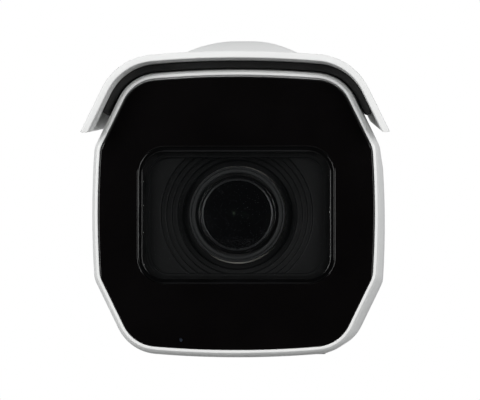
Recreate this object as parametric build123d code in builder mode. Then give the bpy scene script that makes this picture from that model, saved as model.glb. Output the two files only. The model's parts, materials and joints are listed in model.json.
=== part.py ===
from build123d import *
import os

os.makedirs("parts", exist_ok=True)

# A wall-mounted bullet security camera, in millimetres.
#
# The wall is the plane Y = 0 and the camera looks along -Y, with +Z up. The origin is the
# centre of the base plate's back. Places along the camera are given as distances from the
# wall, so station(280) is the plane of the front rim and a positive extrusion goes forward.

# Body outline, half sizes of the front panel
PANEL_TOP = 43.95
PANEL_SIDE = 44.3
SHOULDER_X = 43.6
SHOULDER_Z = 20.6
CORNER_X = 33.07
CORNER_Z = 42.2
CORNER_ROUND = 12
SHOULDER_ROUND = 8

# How far each outline grows beyond the front panel's
RIM_GROW = 1.7
HOUSING_GROW = 2.5
HOUSING_WALL = 2.5
SHIELD_GAP = 3.3
SHIELD_WALL = 2.2

# Stations, distances from the wall
PIVOT = 60
CAP_BACK = 104
CAP_FRONT = 112
HOUSING_FRONT = 270
RIM = 280
SHIELD_BACK = 130
SHIELD_FRONT = 290

# Heights of the front's centres, and the lens axis
PANEL_Z = -0.4
WINDOW_Z = -0.85
LENS_Z = -0.45

# Wall base
BASE_RADIUS = 46
BASE_SCREW_PCD = 70
BASE_SCREW_RADIUS = 2.3
SPIGOT_RADIUS = 12
RUNNING_FIT = 0.06

# Fork and arm
EAR_RADIUS = 15
EAR_GAP = 14
EAR_THICK = 7
TONGUE_THICK = 13.4
TILT_BOLT_RADIUS = 3
ARM_RADIUS = 13

# Corner screws that hold the bezel and the rear cap
CORNER_SCREW = 33
M3_RADIUS = 1.5
M3_HEAD_RADIUS = 2.75
M3_HEAD_HEIGHT = 2.6
M3_LENGTH = 14
SCREW_BOSS_RADIUS = 4.5

# Cable gland
GLAND_Z = -34
GLAND_BORE_RADIUS = 3.25


def station(distance):
    """The section plane this far from the wall, with its normal towards the front."""
    return Plane.XZ.offset(distance)


def side_plane(x=0.0, z=0.0):
    """A lengthwise plane whose first coordinate is the distance from the wall."""
    return Plane(origin=(x, 0, z), x_dir=(0, -1, 0), z_dir=(-1, 0, 0))


def lens_axis():
    return Axis((0, 0, LENS_Z), (0, -1, 0))


def body_outline(grow, shoulder_round=SHOULDER_ROUND):
    """The body's cross-section: arched top and bottom, sloping shoulders and bowed sides."""
    with BuildSketch() as outline:
        with BuildLine():
            ThreePointArc((-CORNER_X, CORNER_Z), (0, PANEL_TOP), (CORNER_X, CORNER_Z))
            Line((CORNER_X, CORNER_Z), (SHOULDER_X, SHOULDER_Z))
            ThreePointArc((SHOULDER_X, SHOULDER_Z), (PANEL_SIDE, 0), (SHOULDER_X, -SHOULDER_Z))
            Line((SHOULDER_X, -SHOULDER_Z), (CORNER_X, -CORNER_Z))
            ThreePointArc((CORNER_X, -CORNER_Z), (0, -PANEL_TOP), (-CORNER_X, -CORNER_Z))
            Line((-CORNER_X, -CORNER_Z), (-SHOULDER_X, -SHOULDER_Z))
            ThreePointArc((-SHOULDER_X, -SHOULDER_Z), (-PANEL_SIDE, 0), (-SHOULDER_X, SHOULDER_Z))
            Line((-SHOULDER_X, SHOULDER_Z), (-CORNER_X, CORNER_Z))
        make_face()
        if grow:
            offset(amount=grow, kind=Kind.INTERSECTION)
        rows = outline.vertices().group_by(Axis.Y)
        fillet(rows[0] + rows[-1], CORNER_ROUND + grow)
        if shoulder_round:
            rows = outline.vertices().group_by(Axis.Y)
            fillet(rows[2] + rows[3], shoulder_round)
    return outline.sketch


def save(piece, label):
    """Name a finished piece and write it as its own STEP file."""
    piece.part.label = label
    export_step(piece.part, f"parts/{label}.step")


def corner_screw_places():
    """Two columns and two rows of screws, on the current plane."""
    return GridLocations(2 * CORNER_SCREW, 2 * CORNER_SCREW, 2, 2)


# ---------------------------------------------------------------- wall base and fork

BASE_EDGE = 4
BASE_TOP = 14
BASE_FLOOR = 8
BASE_COUNTERBORE = 6
RECESS_RADIUS = 24
GASKET_RADII = (38, 43)
GASKET_THICK = 2
BOSS_RADIUS = 20
LOCK_SCREW_STATION = 11
LOCK_SCREW_RADIUS = 2.05
LOCK_SCREW_LENGTH = 11
WASHER_THICK = 1

with BuildPart() as wall_base:
    with BuildSketch(side_plane()):
        with BuildLine():
            Polyline(
                (0, RECESS_RADIUS),
                (0, BASE_RADIUS),
                (BASE_EDGE, BASE_RADIUS),
                (BASE_FLOOR, BASE_RADIUS - 4),
                (BASE_TOP - 2, RECESS_RADIUS),
                (BASE_TOP, BOSS_RADIUS),
                (BASE_TOP, SPIGOT_RADIUS + RUNNING_FIT),
                (BASE_FLOOR, SPIGOT_RADIUS + RUNNING_FIT),
                (BASE_FLOOR, RECESS_RADIUS),
                (0, RECESS_RADIUS),
            )
        make_face()
    revolve(axis=Axis.Y)
    with BuildSketch(station(0)):
        Circle(GASKET_RADII[1])
        Circle(GASKET_RADII[0], mode=Mode.SUBTRACT)
    extrude(amount=GASKET_THICK, mode=Mode.SUBTRACT)
    with BuildSketch(station(0)):
        with PolarLocations(BASE_SCREW_PCD / 2, 4, start_angle=45):
            Circle(BASE_SCREW_RADIUS)
    extrude(amount=BASE_TOP, mode=Mode.SUBTRACT)
    with BuildSketch(station(BASE_COUNTERBORE)):
        with PolarLocations(BASE_SCREW_PCD / 2, 4, start_angle=45):
            Circle(2 * BASE_SCREW_RADIUS)
    extrude(amount=BASE_TOP, mode=Mode.SUBTRACT)
    with BuildSketch(Plane.XY.offset(-RECESS_RADIUS / 2)):
        with Locations((0, -LOCK_SCREW_STATION)):
            Circle(LOCK_SCREW_RADIUS + 0.05)
    extrude(amount=-BASE_RADIUS, mode=Mode.SUBTRACT)
save(wall_base, "wall_base")

with BuildPart() as base_gasket:
    with BuildSketch(station(0)):
        Circle(GASKET_RADII[1])
        Circle(GASKET_RADII[0], mode=Mode.SUBTRACT)
    extrude(amount=GASKET_THICK)
save(base_gasket, "base_gasket")

NECK_RADIUS = 17
NECK_END = 42
SPIGOT_BACK = 2.5
RETAINER_BACK = 3
RETAINER_SIZE = 18
PAN_WASHER_RADIUS = 20

with BuildPart() as pan_swivel:
    with BuildSketch(station(SPIGOT_BACK)):
        Circle(SPIGOT_RADIUS)
    extrude(amount=BASE_TOP - SPIGOT_BACK)
    with BuildSketch(station(BASE_TOP)):
        Circle(NECK_RADIUS)
    extrude(amount=NECK_END - BASE_TOP)
    with BuildSketch(Plane.YZ.offset(-EAR_GAP / 2 - EAR_THICK)):
        with Locations((-PIVOT, 0)):
            Circle(EAR_RADIUS)
        with Locations((-(PIVOT + NECK_END - 4) / 2, 0)):
            Rectangle(PIVOT - NECK_END + 4, 2 * EAR_RADIUS)
    extrude(amount=EAR_GAP + 2 * EAR_THICK)
    with BuildSketch(Plane.YZ.offset(-EAR_GAP / 2)):
        with Locations((-PIVOT - 2, 0)):
            Rectangle(2 * EAR_RADIUS + 8, 4 * EAR_RADIUS)
    extrude(amount=EAR_GAP, mode=Mode.SUBTRACT)
    with BuildSketch(Plane.YZ.offset(-EAR_GAP)):
        with Locations((-PIVOT, 0)):
            Circle(TILT_BOLT_RADIUS + RUNNING_FIT)
    extrude(amount=2 * EAR_GAP, mode=Mode.SUBTRACT)
    neck_rims = pan_swivel.edges().filter_by(GeomType.CIRCLE).group_by(Axis.Y)[-1]
    chamfer(neck_rims, 1)
save(pan_swivel, "pan_swivel")

with BuildPart() as pan_washer:
    with BuildSketch(station(BASE_FLOOR - WASHER_THICK)):
        Circle(PAN_WASHER_RADIUS)
        Circle(SPIGOT_RADIUS + 0.3, mode=Mode.SUBTRACT)
    extrude(amount=WASHER_THICK)
save(pan_washer, "pan_washer")

with BuildPart() as pan_retainer:
    with BuildSketch(station(RETAINER_BACK)):
        RegularPolygon(RETAINER_SIZE, 6)
        Circle(SPIGOT_RADIUS, mode=Mode.SUBTRACT)
    extrude(amount=BASE_FLOOR - WASHER_THICK - RETAINER_BACK)
    chamfer(pan_retainer.edges().group_by(Axis.Y)[-1].filter_by(GeomType.LINE), 0.8)
save(pan_retainer, "pan_retainer")

with BuildPart() as pan_lock_screw:
    with BuildSketch(Plane.XY.offset(-SPIGOT_RADIUS - RUNNING_FIT)):
        with Locations((0, -LOCK_SCREW_STATION)):
            Circle(LOCK_SCREW_RADIUS)
    extrude(amount=-LOCK_SCREW_LENGTH)
    with BuildSketch(Plane.XY.offset(-SPIGOT_RADIUS - RUNNING_FIT - LOCK_SCREW_LENGTH)):
        with Locations((0, -LOCK_SCREW_STATION)):
            RegularPolygon(1.1, 6)
    extrude(amount=3, mode=Mode.SUBTRACT)
save(pan_lock_screw, "pan_lock_screw")

# ---------------------------------------------------------------- arm and tilt pivot

FLANGE_BACK = 97.5
FLANGE_FRONT = 102
FLANGE_RADIUS = 17
ARM_START = 77

with BuildPart() as tilt_arm:
    with BuildSketch(Plane.YZ.offset(-TONGUE_THICK / 2)):
        with Locations((-PIVOT, 0)):
            Circle(EAR_RADIUS - 1)
        with Locations((-(PIVOT + ARM_START + 3) / 2, 0)):
            Rectangle(ARM_START + 3 - PIVOT, 2 * EAR_RADIUS - 8)
    extrude(amount=TONGUE_THICK)
    with BuildSketch(station(ARM_START)):
        Circle(ARM_RADIUS)
    extrude(amount=FLANGE_FRONT - ARM_START)
    with BuildSketch(station(FLANGE_BACK)):
        Circle(FLANGE_RADIUS)
    extrude(amount=FLANGE_FRONT - FLANGE_BACK)
    with BuildSketch(Plane.YZ.offset(-EAR_GAP)):
        with Locations((-PIVOT, 0)):
            Circle(TILT_BOLT_RADIUS + RUNNING_FIT)
    extrude(amount=2 * EAR_GAP, mode=Mode.SUBTRACT)
save(tilt_arm, "tilt_arm")

EAR_FACE = EAR_GAP / 2 + EAR_THICK
TILT_BOLT_END = 8
TILT_HEAD_RADIUS = 5
TILT_HEAD_HEIGHT = 6
TILT_SOCKET_SIZE = 2.9
TILT_NUT_SIZE = 5.77
TILT_NUT_HEIGHT = 5
TILT_WASHER_RADIUS = 6.2

with BuildPart() as tilt_bolt:
    with BuildSketch(Plane.YZ.offset(-EAR_FACE - TILT_BOLT_END)):
        with Locations((-PIVOT, 0)):
            Circle(TILT_BOLT_RADIUS)
    extrude(amount=2 * EAR_FACE + TILT_BOLT_END + WASHER_THICK)
    with BuildSketch(Plane.YZ.offset(EAR_FACE + WASHER_THICK)):
        with Locations((-PIVOT, 0)):
            Circle(TILT_HEAD_RADIUS)
    extrude(amount=TILT_HEAD_HEIGHT)
    chamfer(tilt_bolt.edges().filter_by(GeomType.CIRCLE).group_by(Axis.X)[-1], 0.5)
    with BuildSketch(Plane.YZ.offset(EAR_FACE + WASHER_THICK + TILT_HEAD_HEIGHT / 2)):
        with Locations((-PIVOT, 0)):
            RegularPolygon(TILT_SOCKET_SIZE, 6)
    extrude(amount=TILT_HEAD_HEIGHT, mode=Mode.SUBTRACT)
save(tilt_bolt, "tilt_bolt")

with BuildPart() as tilt_nut:
    with BuildSketch(Plane.YZ.offset(-EAR_FACE - WASHER_THICK - TILT_NUT_HEIGHT)):
        with Locations((-PIVOT, 0)):
            RegularPolygon(TILT_NUT_SIZE, 6)
            Circle(TILT_BOLT_RADIUS, mode=Mode.SUBTRACT)
    extrude(amount=TILT_NUT_HEIGHT)
save(tilt_nut, "tilt_nut")

with BuildPart() as tilt_washers:
    with BuildSketch(Plane.YZ.offset(EAR_FACE), Plane.YZ.offset(-EAR_FACE - WASHER_THICK)):
        with Locations((-PIVOT, 0)):
            Circle(TILT_WASHER_RADIUS)
            Circle(TILT_BOLT_RADIUS + 0.2, mode=Mode.SUBTRACT)
    extrude(amount=WASHER_THICK)
save(tilt_washers, "tilt_washers")

RING_FRONT = 103.6
RING_BACK = 90
RING_RADIUS = 24
CAP_BOSS_RADIUS = 20.5
CAP_BOSS_BACK = 97.8
GRIP_COUNT = 18
GRIP_GROOVE_RADIUS = 2

with BuildPart() as roll_lock_ring:
    with BuildSketch(side_plane()):
        with BuildLine():
            Polyline(
                (RING_FRONT, CAP_BOSS_RADIUS),
                (RING_FRONT, RING_RADIUS),
                (RING_BACK + 4, RING_RADIUS),
                (RING_BACK, RING_RADIUS - 5),
                (RING_BACK, ARM_RADIUS + 0.3),
                (FLANGE_BACK, ARM_RADIUS + 0.3),
                (FLANGE_BACK, CAP_BOSS_RADIUS),
                (RING_FRONT, CAP_BOSS_RADIUS),
            )
        make_face()
    revolve(axis=Axis.Y)
    with BuildSketch(station(RING_BACK)):
        with PolarLocations(RING_RADIUS + 1.1, GRIP_COUNT):
            Circle(GRIP_GROOVE_RADIUS)
    extrude(amount=RING_FRONT - RING_BACK, mode=Mode.SUBTRACT)
save(roll_lock_ring, "roll_lock_ring")

# ---------------------------------------------------------------- rear cap and cable gland

CAP_PLATE = 3
RECESS_FIT = 0.3
VENT_X = -20
VENT_Z = -32
VENT_HOLE_RADIUS = 2
GLAND_THREAD = 6
CAP_EDGE_ROUND = 3.4

with BuildPart() as rear_cap:
    with BuildSketch(station(CAP_BACK)):
        add(body_outline(HOUSING_GROW))
    extrude(amount=CAP_FRONT - CAP_BACK)
    fillet(rear_cap.faces().sort_by(Axis.Y)[-1].edges(), CAP_EDGE_ROUND)
    with BuildSketch(station(CAP_BACK + CAP_PLATE)):
        add(body_outline(-0.5))
        with corner_screw_places():
            Circle(SCREW_BOSS_RADIUS, mode=Mode.SUBTRACT)
    extrude(amount=CAP_FRONT - CAP_BACK, mode=Mode.SUBTRACT)
    with BuildSketch(station(CAP_BOSS_BACK)):
        Circle(CAP_BOSS_RADIUS)
    extrude(amount=CAP_BACK - CAP_BOSS_BACK)
    with BuildSketch(station(CAP_BOSS_BACK)):
        Circle(FLANGE_RADIUS + RECESS_FIT)
    extrude(amount=FLANGE_FRONT - CAP_BOSS_BACK, mode=Mode.SUBTRACT)
    with BuildSketch(station(CAP_BACK)):
        with corner_screw_places():
            Circle(M3_RADIUS + 0.2)
        with Locations((0, GLAND_Z)):
            Circle(GLAND_THREAD)
        with Locations((VENT_X, VENT_Z)):
            Circle(VENT_HOLE_RADIUS)
    extrude(amount=CAP_FRONT - CAP_BACK, mode=Mode.SUBTRACT)
    with BuildSketch(station(CAP_BACK)):
        with corner_screw_places():
            Circle(M3_HEAD_RADIUS + 0.3)
    extrude(amount=CAP_PLATE, mode=Mode.SUBTRACT)
save(rear_cap, "rear_cap")

SEAL_THICK = 0.8


def gasket_outline():
    """The flat gasket between the housing's end and a cap, with its four screw holes."""
    with BuildSketch() as gasket:
        add(body_outline(HOUSING_GROW - 0.4))
        add(body_outline(0.2), mode=Mode.SUBTRACT)
        with corner_screw_places():
            Circle(SCREW_BOSS_RADIUS)
            Circle(M3_RADIUS + 0.2, mode=Mode.SUBTRACT)
    return gasket.sketch


GLAND_BACK = 97
GLAND_LENGTH = 13
GLAND_HEX_SIZE = 7.5
GLAND_FLANGE_BACK = 101
GLAND_NUT_BACK = 92
GLAND_NUT_TAPER = 95
GLAND_NUT_RADIUS = 7.4
GROMMET_BACK = 93
GROMMET_FRONT = 105
GROMMET_RADIUS = 4.8

with BuildPart() as cable_gland_body:
    with BuildSketch(station(GLAND_FLANGE_BACK)):
        with Locations((0, GLAND_Z)):
            RegularPolygon(GLAND_HEX_SIZE, 6)
    extrude(amount=CAP_BACK - GLAND_FLANGE_BACK)
    with BuildSketch(station(GLAND_BACK)):
        with Locations((0, GLAND_Z)):
            Circle(GLAND_THREAD)
    extrude(amount=GLAND_LENGTH)
    with BuildSketch(station(GLAND_BACK)):
        with Locations((0, GLAND_Z)):
            Circle(GROMMET_RADIUS)
    extrude(amount=GROMMET_FRONT - GLAND_BACK, mode=Mode.SUBTRACT)
    with BuildSketch(station(GROMMET_FRONT)):
        with Locations((0, GLAND_Z)):
            Circle(GLAND_BORE_RADIUS + 0.25)
    extrude(amount=6, mode=Mode.SUBTRACT)
save(cable_gland_body, "cable_gland_body")

with BuildPart() as cable_gland_nut:
    with BuildSketch(side_plane(z=GLAND_Z)):
        with BuildLine():
            Polyline(
                (GLAND_FLANGE_BACK, GLAND_THREAD),
                (GLAND_FLANGE_BACK, GLAND_NUT_RADIUS),
                (GLAND_NUT_TAPER, GLAND_NUT_RADIUS),
                (GLAND_NUT_BACK, 5.6),
                (GLAND_NUT_BACK, 4),
                (GROMMET_BACK, 4),
                (GROMMET_BACK, GROMMET_RADIUS),
                (GLAND_BACK, GROMMET_RADIUS),
                (GLAND_BACK, GLAND_THREAD),
                (GLAND_FLANGE_BACK, GLAND_THREAD),
            )
        make_face()
    revolve(axis=Axis((0, 0, GLAND_Z), (0, 1, 0)))
    with BuildSketch(station(GLAND_NUT_TAPER)):
        with Locations((0, GLAND_Z)):
            with PolarLocations(GLAND_NUT_RADIUS + 0.7, 12):
                Circle(1)
    extrude(amount=6, mode=Mode.SUBTRACT)
save(cable_gland_nut, "cable_gland_nut")

with BuildPart() as gland_grommet:
    with BuildSketch(station(GROMMET_BACK)):
        with Locations((0, GLAND_Z)):
            Circle(GROMMET_RADIUS)
            Circle(GLAND_BORE_RADIUS, mode=Mode.SUBTRACT)
    extrude(amount=GROMMET_FRONT - GROMMET_BACK)
save(gland_grommet, "gland_grommet")

with BuildPart() as breather_vent:
    with BuildSketch(station(CAP_BACK - 2)):
        with Locations((VENT_X, VENT_Z)):
            Circle(5)
    extrude(amount=2)
    fillet(breather_vent.edges().filter_by(GeomType.CIRCLE).group_by(Axis.Y)[-1], 0.6)
    with BuildSketch(station(CAP_BACK)):
        with Locations((VENT_X, VENT_Z)):
            Circle(VENT_HOLE_RADIUS)
    extrude(amount=CAP_PLATE)
save(breather_vent, "breather_vent")

# ---------------------------------------------------------------- housing and service cover

HOUSING_BACK = CAP_FRONT + SEAL_THICK
BOSS_LENGTH = 14
RAIL_BACK = 153.3
RAIL_FRONT = 206.7
RAIL_HALF = 7
RAIL_TOP = 52
SHIELD_SCREWS = (165, 195)
SHIELD_SCREW_RADIUS = 1.95
LEDGE_Z = -24
LEDGE_INNER = 38
LEDGE_WIDTH = 4
LEDGE_BACK = 130
LEDGE_LENGTH = 130
COVER_STATION = 185
COVER_LENGTH = 40
COVER_WIDTH = 56
COVER_SEAT_Z = -43.4
PAD_TOP_Z = -40.7
OPENING_LENGTH = 28
OPENING_WIDTH = 44
COVER_SCREW_X = 25
COVER_SCREW_Y = 17
SMALL_SCREW_RADIUS = 1.25
SMALL_SCREW_HEAD = 2.2
SMALL_SCREW_LENGTH = 5

with BuildPart() as housing:
    with BuildSketch(station(HOUSING_BACK)):
        add(body_outline(HOUSING_GROW))
        add(body_outline(HOUSING_GROW - HOUSING_WALL), mode=Mode.SUBTRACT)
    extrude(amount=HOUSING_FRONT - HOUSING_BACK)
    for boss_back in (HOUSING_BACK, HOUSING_FRONT - BOSS_LENGTH):
        with BuildSketch(station(boss_back)):
            with corner_screw_places():
                Circle(SCREW_BOSS_RADIUS)
        extrude(amount=BOSS_LENGTH)
    for hole_back in (HOUSING_BACK, HOUSING_FRONT - BOSS_LENGTH + 2):
        with BuildSketch(station(hole_back)):
            with corner_screw_places():
                Circle(M3_RADIUS)
        extrude(amount=BOSS_LENGTH - 2, mode=Mode.SUBTRACT)
    with BuildSketch(station(LEDGE_BACK)):
        with Locations((0, LEDGE_Z - LEDGE_WIDTH / 4)):
            with GridLocations(2 * LEDGE_INNER + LEDGE_WIDTH, 0, 2, 1):
                Rectangle(LEDGE_WIDTH, LEDGE_WIDTH / 2)
    extrude(amount=LEDGE_LENGTH)
    with BuildSketch(Plane.XY.offset(PANEL_TOP)):
        with Locations((0, -(RAIL_BACK + RAIL_FRONT) / 2)):
            Rectangle(2 * RAIL_HALF, RAIL_FRONT - RAIL_BACK)
    extrude(amount=RAIL_TOP - PANEL_TOP)
    with BuildSketch(Plane.XY.offset(PANEL_TOP)):
        for screw in SHIELD_SCREWS:
            with Locations((0, -screw)):
                Circle(SHIELD_SCREW_RADIUS)
    extrude(amount=RAIL_TOP, mode=Mode.SUBTRACT)
    with BuildSketch(Plane.XY.offset(COVER_SEAT_Z)):
        with Locations((0, -COVER_STATION)):
            Rectangle(COVER_WIDTH + 4, COVER_LENGTH + 4)
    extrude(amount=PAD_TOP_Z - COVER_SEAT_Z)
    with BuildSketch(Plane.XY.offset(COVER_SEAT_Z)):
        with Locations((0, -COVER_STATION)):
            RectangleRounded(COVER_WIDTH, COVER_LENGTH, 4)
    extrude(amount=-4, mode=Mode.SUBTRACT)
    with BuildSketch(Plane.XY.offset(COVER_SEAT_Z - 1)):
        with Locations((0, -COVER_STATION)):
            RectangleRounded(OPENING_WIDTH, OPENING_LENGTH, 3)
            with GridLocations(2 * COVER_SCREW_X, 2 * COVER_SCREW_Y, 2, 2):
                Circle(SMALL_SCREW_RADIUS)
    extrude(amount=6, mode=Mode.SUBTRACT)
save(housing, "housing")

COVER_GASKET = 0.6
COVER_THICK = 1.2

with BuildPart() as cover_gasket:
    with BuildSketch(Plane.XY.offset(COVER_SEAT_Z - COVER_GASKET)):
        with Locations((0, -COVER_STATION)):
            RectangleRounded(COVER_WIDTH - 1, COVER_LENGTH - 1, 3.5)
            RectangleRounded(OPENING_WIDTH + 1, OPENING_LENGTH + 1, 3, mode=Mode.SUBTRACT)
            with GridLocations(2 * COVER_SCREW_X, 2 * COVER_SCREW_Y, 2, 2):
                Circle(SMALL_SCREW_RADIUS + 0.2, mode=Mode.SUBTRACT)
    extrude(amount=COVER_GASKET)
save(cover_gasket, "cover_gasket")

with BuildPart() as service_cover:
    with BuildSketch(Plane.XY.offset(COVER_SEAT_Z - COVER_GASKET)):
        with Locations((0, -COVER_STATION)):
            RectangleRounded(COVER_WIDTH - 0.4, COVER_LENGTH - 0.4, 3.8)
            with GridLocations(2 * COVER_SCREW_X, 2 * COVER_SCREW_Y, 2, 2):
                Circle(SMALL_SCREW_RADIUS + 0.2, mode=Mode.SUBTRACT)
    extrude(amount=-COVER_THICK)
    chamfer(service_cover.faces().sort_by(Axis.Z)[0].outer_wire().edges(), 0.3)
save(service_cover, "service_cover")

with BuildPart() as cover_screws:
    with BuildSketch(Plane.XY.offset(COVER_SEAT_Z - COVER_GASKET - COVER_THICK)):
        with Locations((0, -COVER_STATION)):
            with GridLocations(2 * COVER_SCREW_X, 2 * COVER_SCREW_Y, 2, 2):
                Circle(SMALL_SCREW_HEAD)
    extrude(amount=-1)
    with BuildSketch(Plane.XY.offset(COVER_SEAT_Z - COVER_GASKET - COVER_THICK - 1)):
        with Locations((0, -COVER_STATION)):
            with GridLocations(2 * COVER_SCREW_X, 2 * COVER_SCREW_Y, 2, 2):
                Circle(SMALL_SCREW_RADIUS)
    extrude(amount=SMALL_SCREW_LENGTH)
save(cover_screws, "cover_screws")

# ---------------------------------------------------------------- bezel, panel and window

BEZEL_BACK = HOUSING_FRONT + SEAL_THICK
PANEL_BACK = 276.9
PANEL_FRONT = 279.4
PANEL_FIT = 0.1
RIM_FACE_GROW = 1.0
RIM_BEVEL = 1.4
WINDOW_CUT = (63.2, 44, 8.7)
FRAME_CUT = (60, 41.3, 7.2)
TRAY_CUT = (56, 37.2, 6.4)
FLANGE_CUT = (64, 45, 9.1)
LED_XS = (-22.5, -8.5, 8.5, 22.5)
LED_ROW_Z = 32.5
LED_POCKET_RADIUS = 5.2
LED_CHIP = 3.5
LED_CHIP_HEIGHT = 0.8
LED_DOME_RADIUS = 1.5
LED_BOARD_SIZE = (56, 12.6, 1.5)
REFLECTOR_DEPTH = 5
REFLECTOR_THROAT = 2.6
SENSOR_HOLE_RADIUS = 0.6
SENSOR_X = -17.7
SENSOR_Z = -40.8
BAFFLE_SCREW_X = 35
BAFFLE_SCREW_Z = 17

led_places = [(x, z) for z in (-LED_ROW_Z, LED_ROW_Z) for x in LED_XS]

with BuildPart() as front_bezel:
    with BuildSketch(station(BEZEL_BACK)):
        add(body_outline(HOUSING_GROW))
    with BuildSketch(station(RIM - RIM_BEVEL)):
        add(body_outline(RIM_GROW))
    with BuildSketch(station(RIM)):
        add(body_outline(RIM_FACE_GROW))
    loft(ruled=True)
    with BuildSketch(station(PANEL_BACK)):
        with Locations((0, PANEL_Z)):
            add(body_outline(PANEL_FIT, shoulder_round=0))
    extrude(amount=RIM - PANEL_BACK, mode=Mode.SUBTRACT)
    with BuildSketch(station(BEZEL_BACK)):
        with Locations((0, WINDOW_Z)):
            RectangleRounded(*FLANGE_CUT)
        with Locations(*led_places):
            Circle(LED_POCKET_RADIUS)
        with corner_screw_places():
            Circle(M3_RADIUS + 0.2)
    extrude(amount=PANEL_BACK - BEZEL_BACK, mode=Mode.SUBTRACT)
    with BuildSketch(station(PANEL_BACK)):
        with corner_screw_places():
            Circle(M3_HEAD_RADIUS + 0.2)
        with Locations((SENSOR_X, SENSOR_Z)):
            Rectangle(3.4, 2.6)
    extrude(amount=-M3_HEAD_HEIGHT - 0.1, mode=Mode.SUBTRACT)
    with BuildSketch(station(BEZEL_BACK)):
        with GridLocations(2 * BAFFLE_SCREW_X, 2 * BAFFLE_SCREW_Z, 2, 2):
            Circle(SMALL_SCREW_RADIUS)
    extrude(amount=4, mode=Mode.SUBTRACT)
save(front_bezel, "front_bezel")

with BuildPart() as end_seals:
    for seat in (CAP_FRONT, HOUSING_FRONT):
        with BuildSketch(station(seat)):
            add(gasket_outline())
        extrude(amount=SEAL_THICK)
save(end_seals, "end_seals")

# The four rear screws point forward and the four under the front panel point back.
with BuildPart() as corner_screws:
    for seat, forward in ((CAP_BACK + CAP_PLATE, 1), (PANEL_BACK - M3_HEAD_HEIGHT - 0.1, -1)):
        with BuildSketch(station(seat)):
            with corner_screw_places():
                Circle(M3_HEAD_RADIUS)
        extrude(amount=-forward * M3_HEAD_HEIGHT)
        with BuildSketch(station(seat)):
            with corner_screw_places():
                Circle(M3_RADIUS)
        extrude(amount=forward * M3_LENGTH)
        with BuildSketch(station(seat - forward * M3_HEAD_HEIGHT)):
            with corner_screw_places():
                RegularPolygon(1.4, 6)
        extrude(amount=forward * 1.5, mode=Mode.SUBTRACT)
save(corner_screws, "corner_screws")

with BuildPart() as front_panel:
    with BuildSketch(station(PANEL_BACK)):
        with Locations((0, PANEL_Z)):
            add(body_outline(0, shoulder_round=0))
        with Locations((0, WINDOW_Z)):
            RectangleRounded(*WINDOW_CUT, mode=Mode.SUBTRACT)
        with Locations((SENSOR_X, SENSOR_Z)):
            Circle(SENSOR_HOLE_RADIUS, mode=Mode.SUBTRACT)
    extrude(amount=PANEL_FRONT - PANEL_BACK)
    chamfer(front_panel.faces().sort_by(Axis.Y)[0].outer_wire().edges(), 0.4)
save(front_panel, "front_panel")

FRAME_FRONT = 279.1
FRAME_BACK = 276.6
GLASS_FRONT = 278.6
SEAL_BACK = 275.6
SEAL_OUTER = (62, 43, 8)
SEAL_INNER = (57.6, 38.8, 7)

with BuildPart() as window_frame:
    with BuildSketch(station(FRAME_BACK)):
        with Locations((0, WINDOW_Z)):
            RectangleRounded(WINDOW_CUT[0] - 0.1, WINDOW_CUT[1] - 0.1, WINDOW_CUT[2])
            RectangleRounded(*FRAME_CUT, mode=Mode.SUBTRACT)
    extrude(amount=FRAME_FRONT - FRAME_BACK)
    chamfer(window_frame.faces().sort_by(Axis.Y)[0].inner_wires()[0].edges(), 0.4)
save(window_frame, "window_frame")

with BuildPart() as window_glass:
    with BuildSketch(station(FRAME_BACK)):
        with Locations((0, WINDOW_Z)):
            RectangleRounded(FRAME_CUT[0] - 0.1, FRAME_CUT[1] - 0.1, FRAME_CUT[2])
    extrude(amount=GLASS_FRONT - FRAME_BACK)
save(window_glass, "window_glass")

with BuildPart() as window_seal:
    with BuildSketch(station(SEAL_BACK)):
        with Locations((0, WINDOW_Z)):
            RectangleRounded(*SEAL_OUTER)
            RectangleRounded(*SEAL_INNER, mode=Mode.SUBTRACT)
    extrude(amount=FRAME_BACK - SEAL_BACK)
save(window_seal, "window_seal")

# The tray steps in towards the lens in equal rings, cut off by its rounded opening.
BAFFLE_BACK = 266
BAFFLE_FLANGE_BACK = 268.8
TRAY_DEPTH = 1.6
STEP_WIDTH = 1.7
STEP_DEPTH = 1.6
STEP_OUTER = 24.4
STEP_COUNT = 5
LENS_HOLE_RADIUS = 15.8
TRAY_OUTER = (62.4, 43.4, 8)
TRAY_FLANGE = (78, 49, 8)

with BuildPart() as tray_cavity:
    with BuildSketch(station(BAFFLE_BACK)):
        with Locations((0, WINDOW_Z)):
            RectangleRounded(*TRAY_CUT)
    extrude(amount=SEAL_BACK - BAFFLE_BACK)
    with BuildSketch(side_plane(z=LENS_Z)):
        with BuildLine():
            reach = TRAY_OUTER[0]
            steps = [(SEAL_BACK, 0), (SEAL_BACK, reach), (SEAL_BACK - TRAY_DEPTH, reach)]
            for number in range(STEP_COUNT):
                radius = STEP_OUTER - number * STEP_WIDTH
                depth = SEAL_BACK - TRAY_DEPTH - number * STEP_DEPTH
                steps += [(depth, radius), (depth - STEP_DEPTH, radius)]
            floor = SEAL_BACK - TRAY_DEPTH - STEP_COUNT * STEP_DEPTH
            Polyline(*steps, (floor, 0), close=True)
        make_face()
    revolve(axis=lens_axis(), mode=Mode.INTERSECT)

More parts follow.
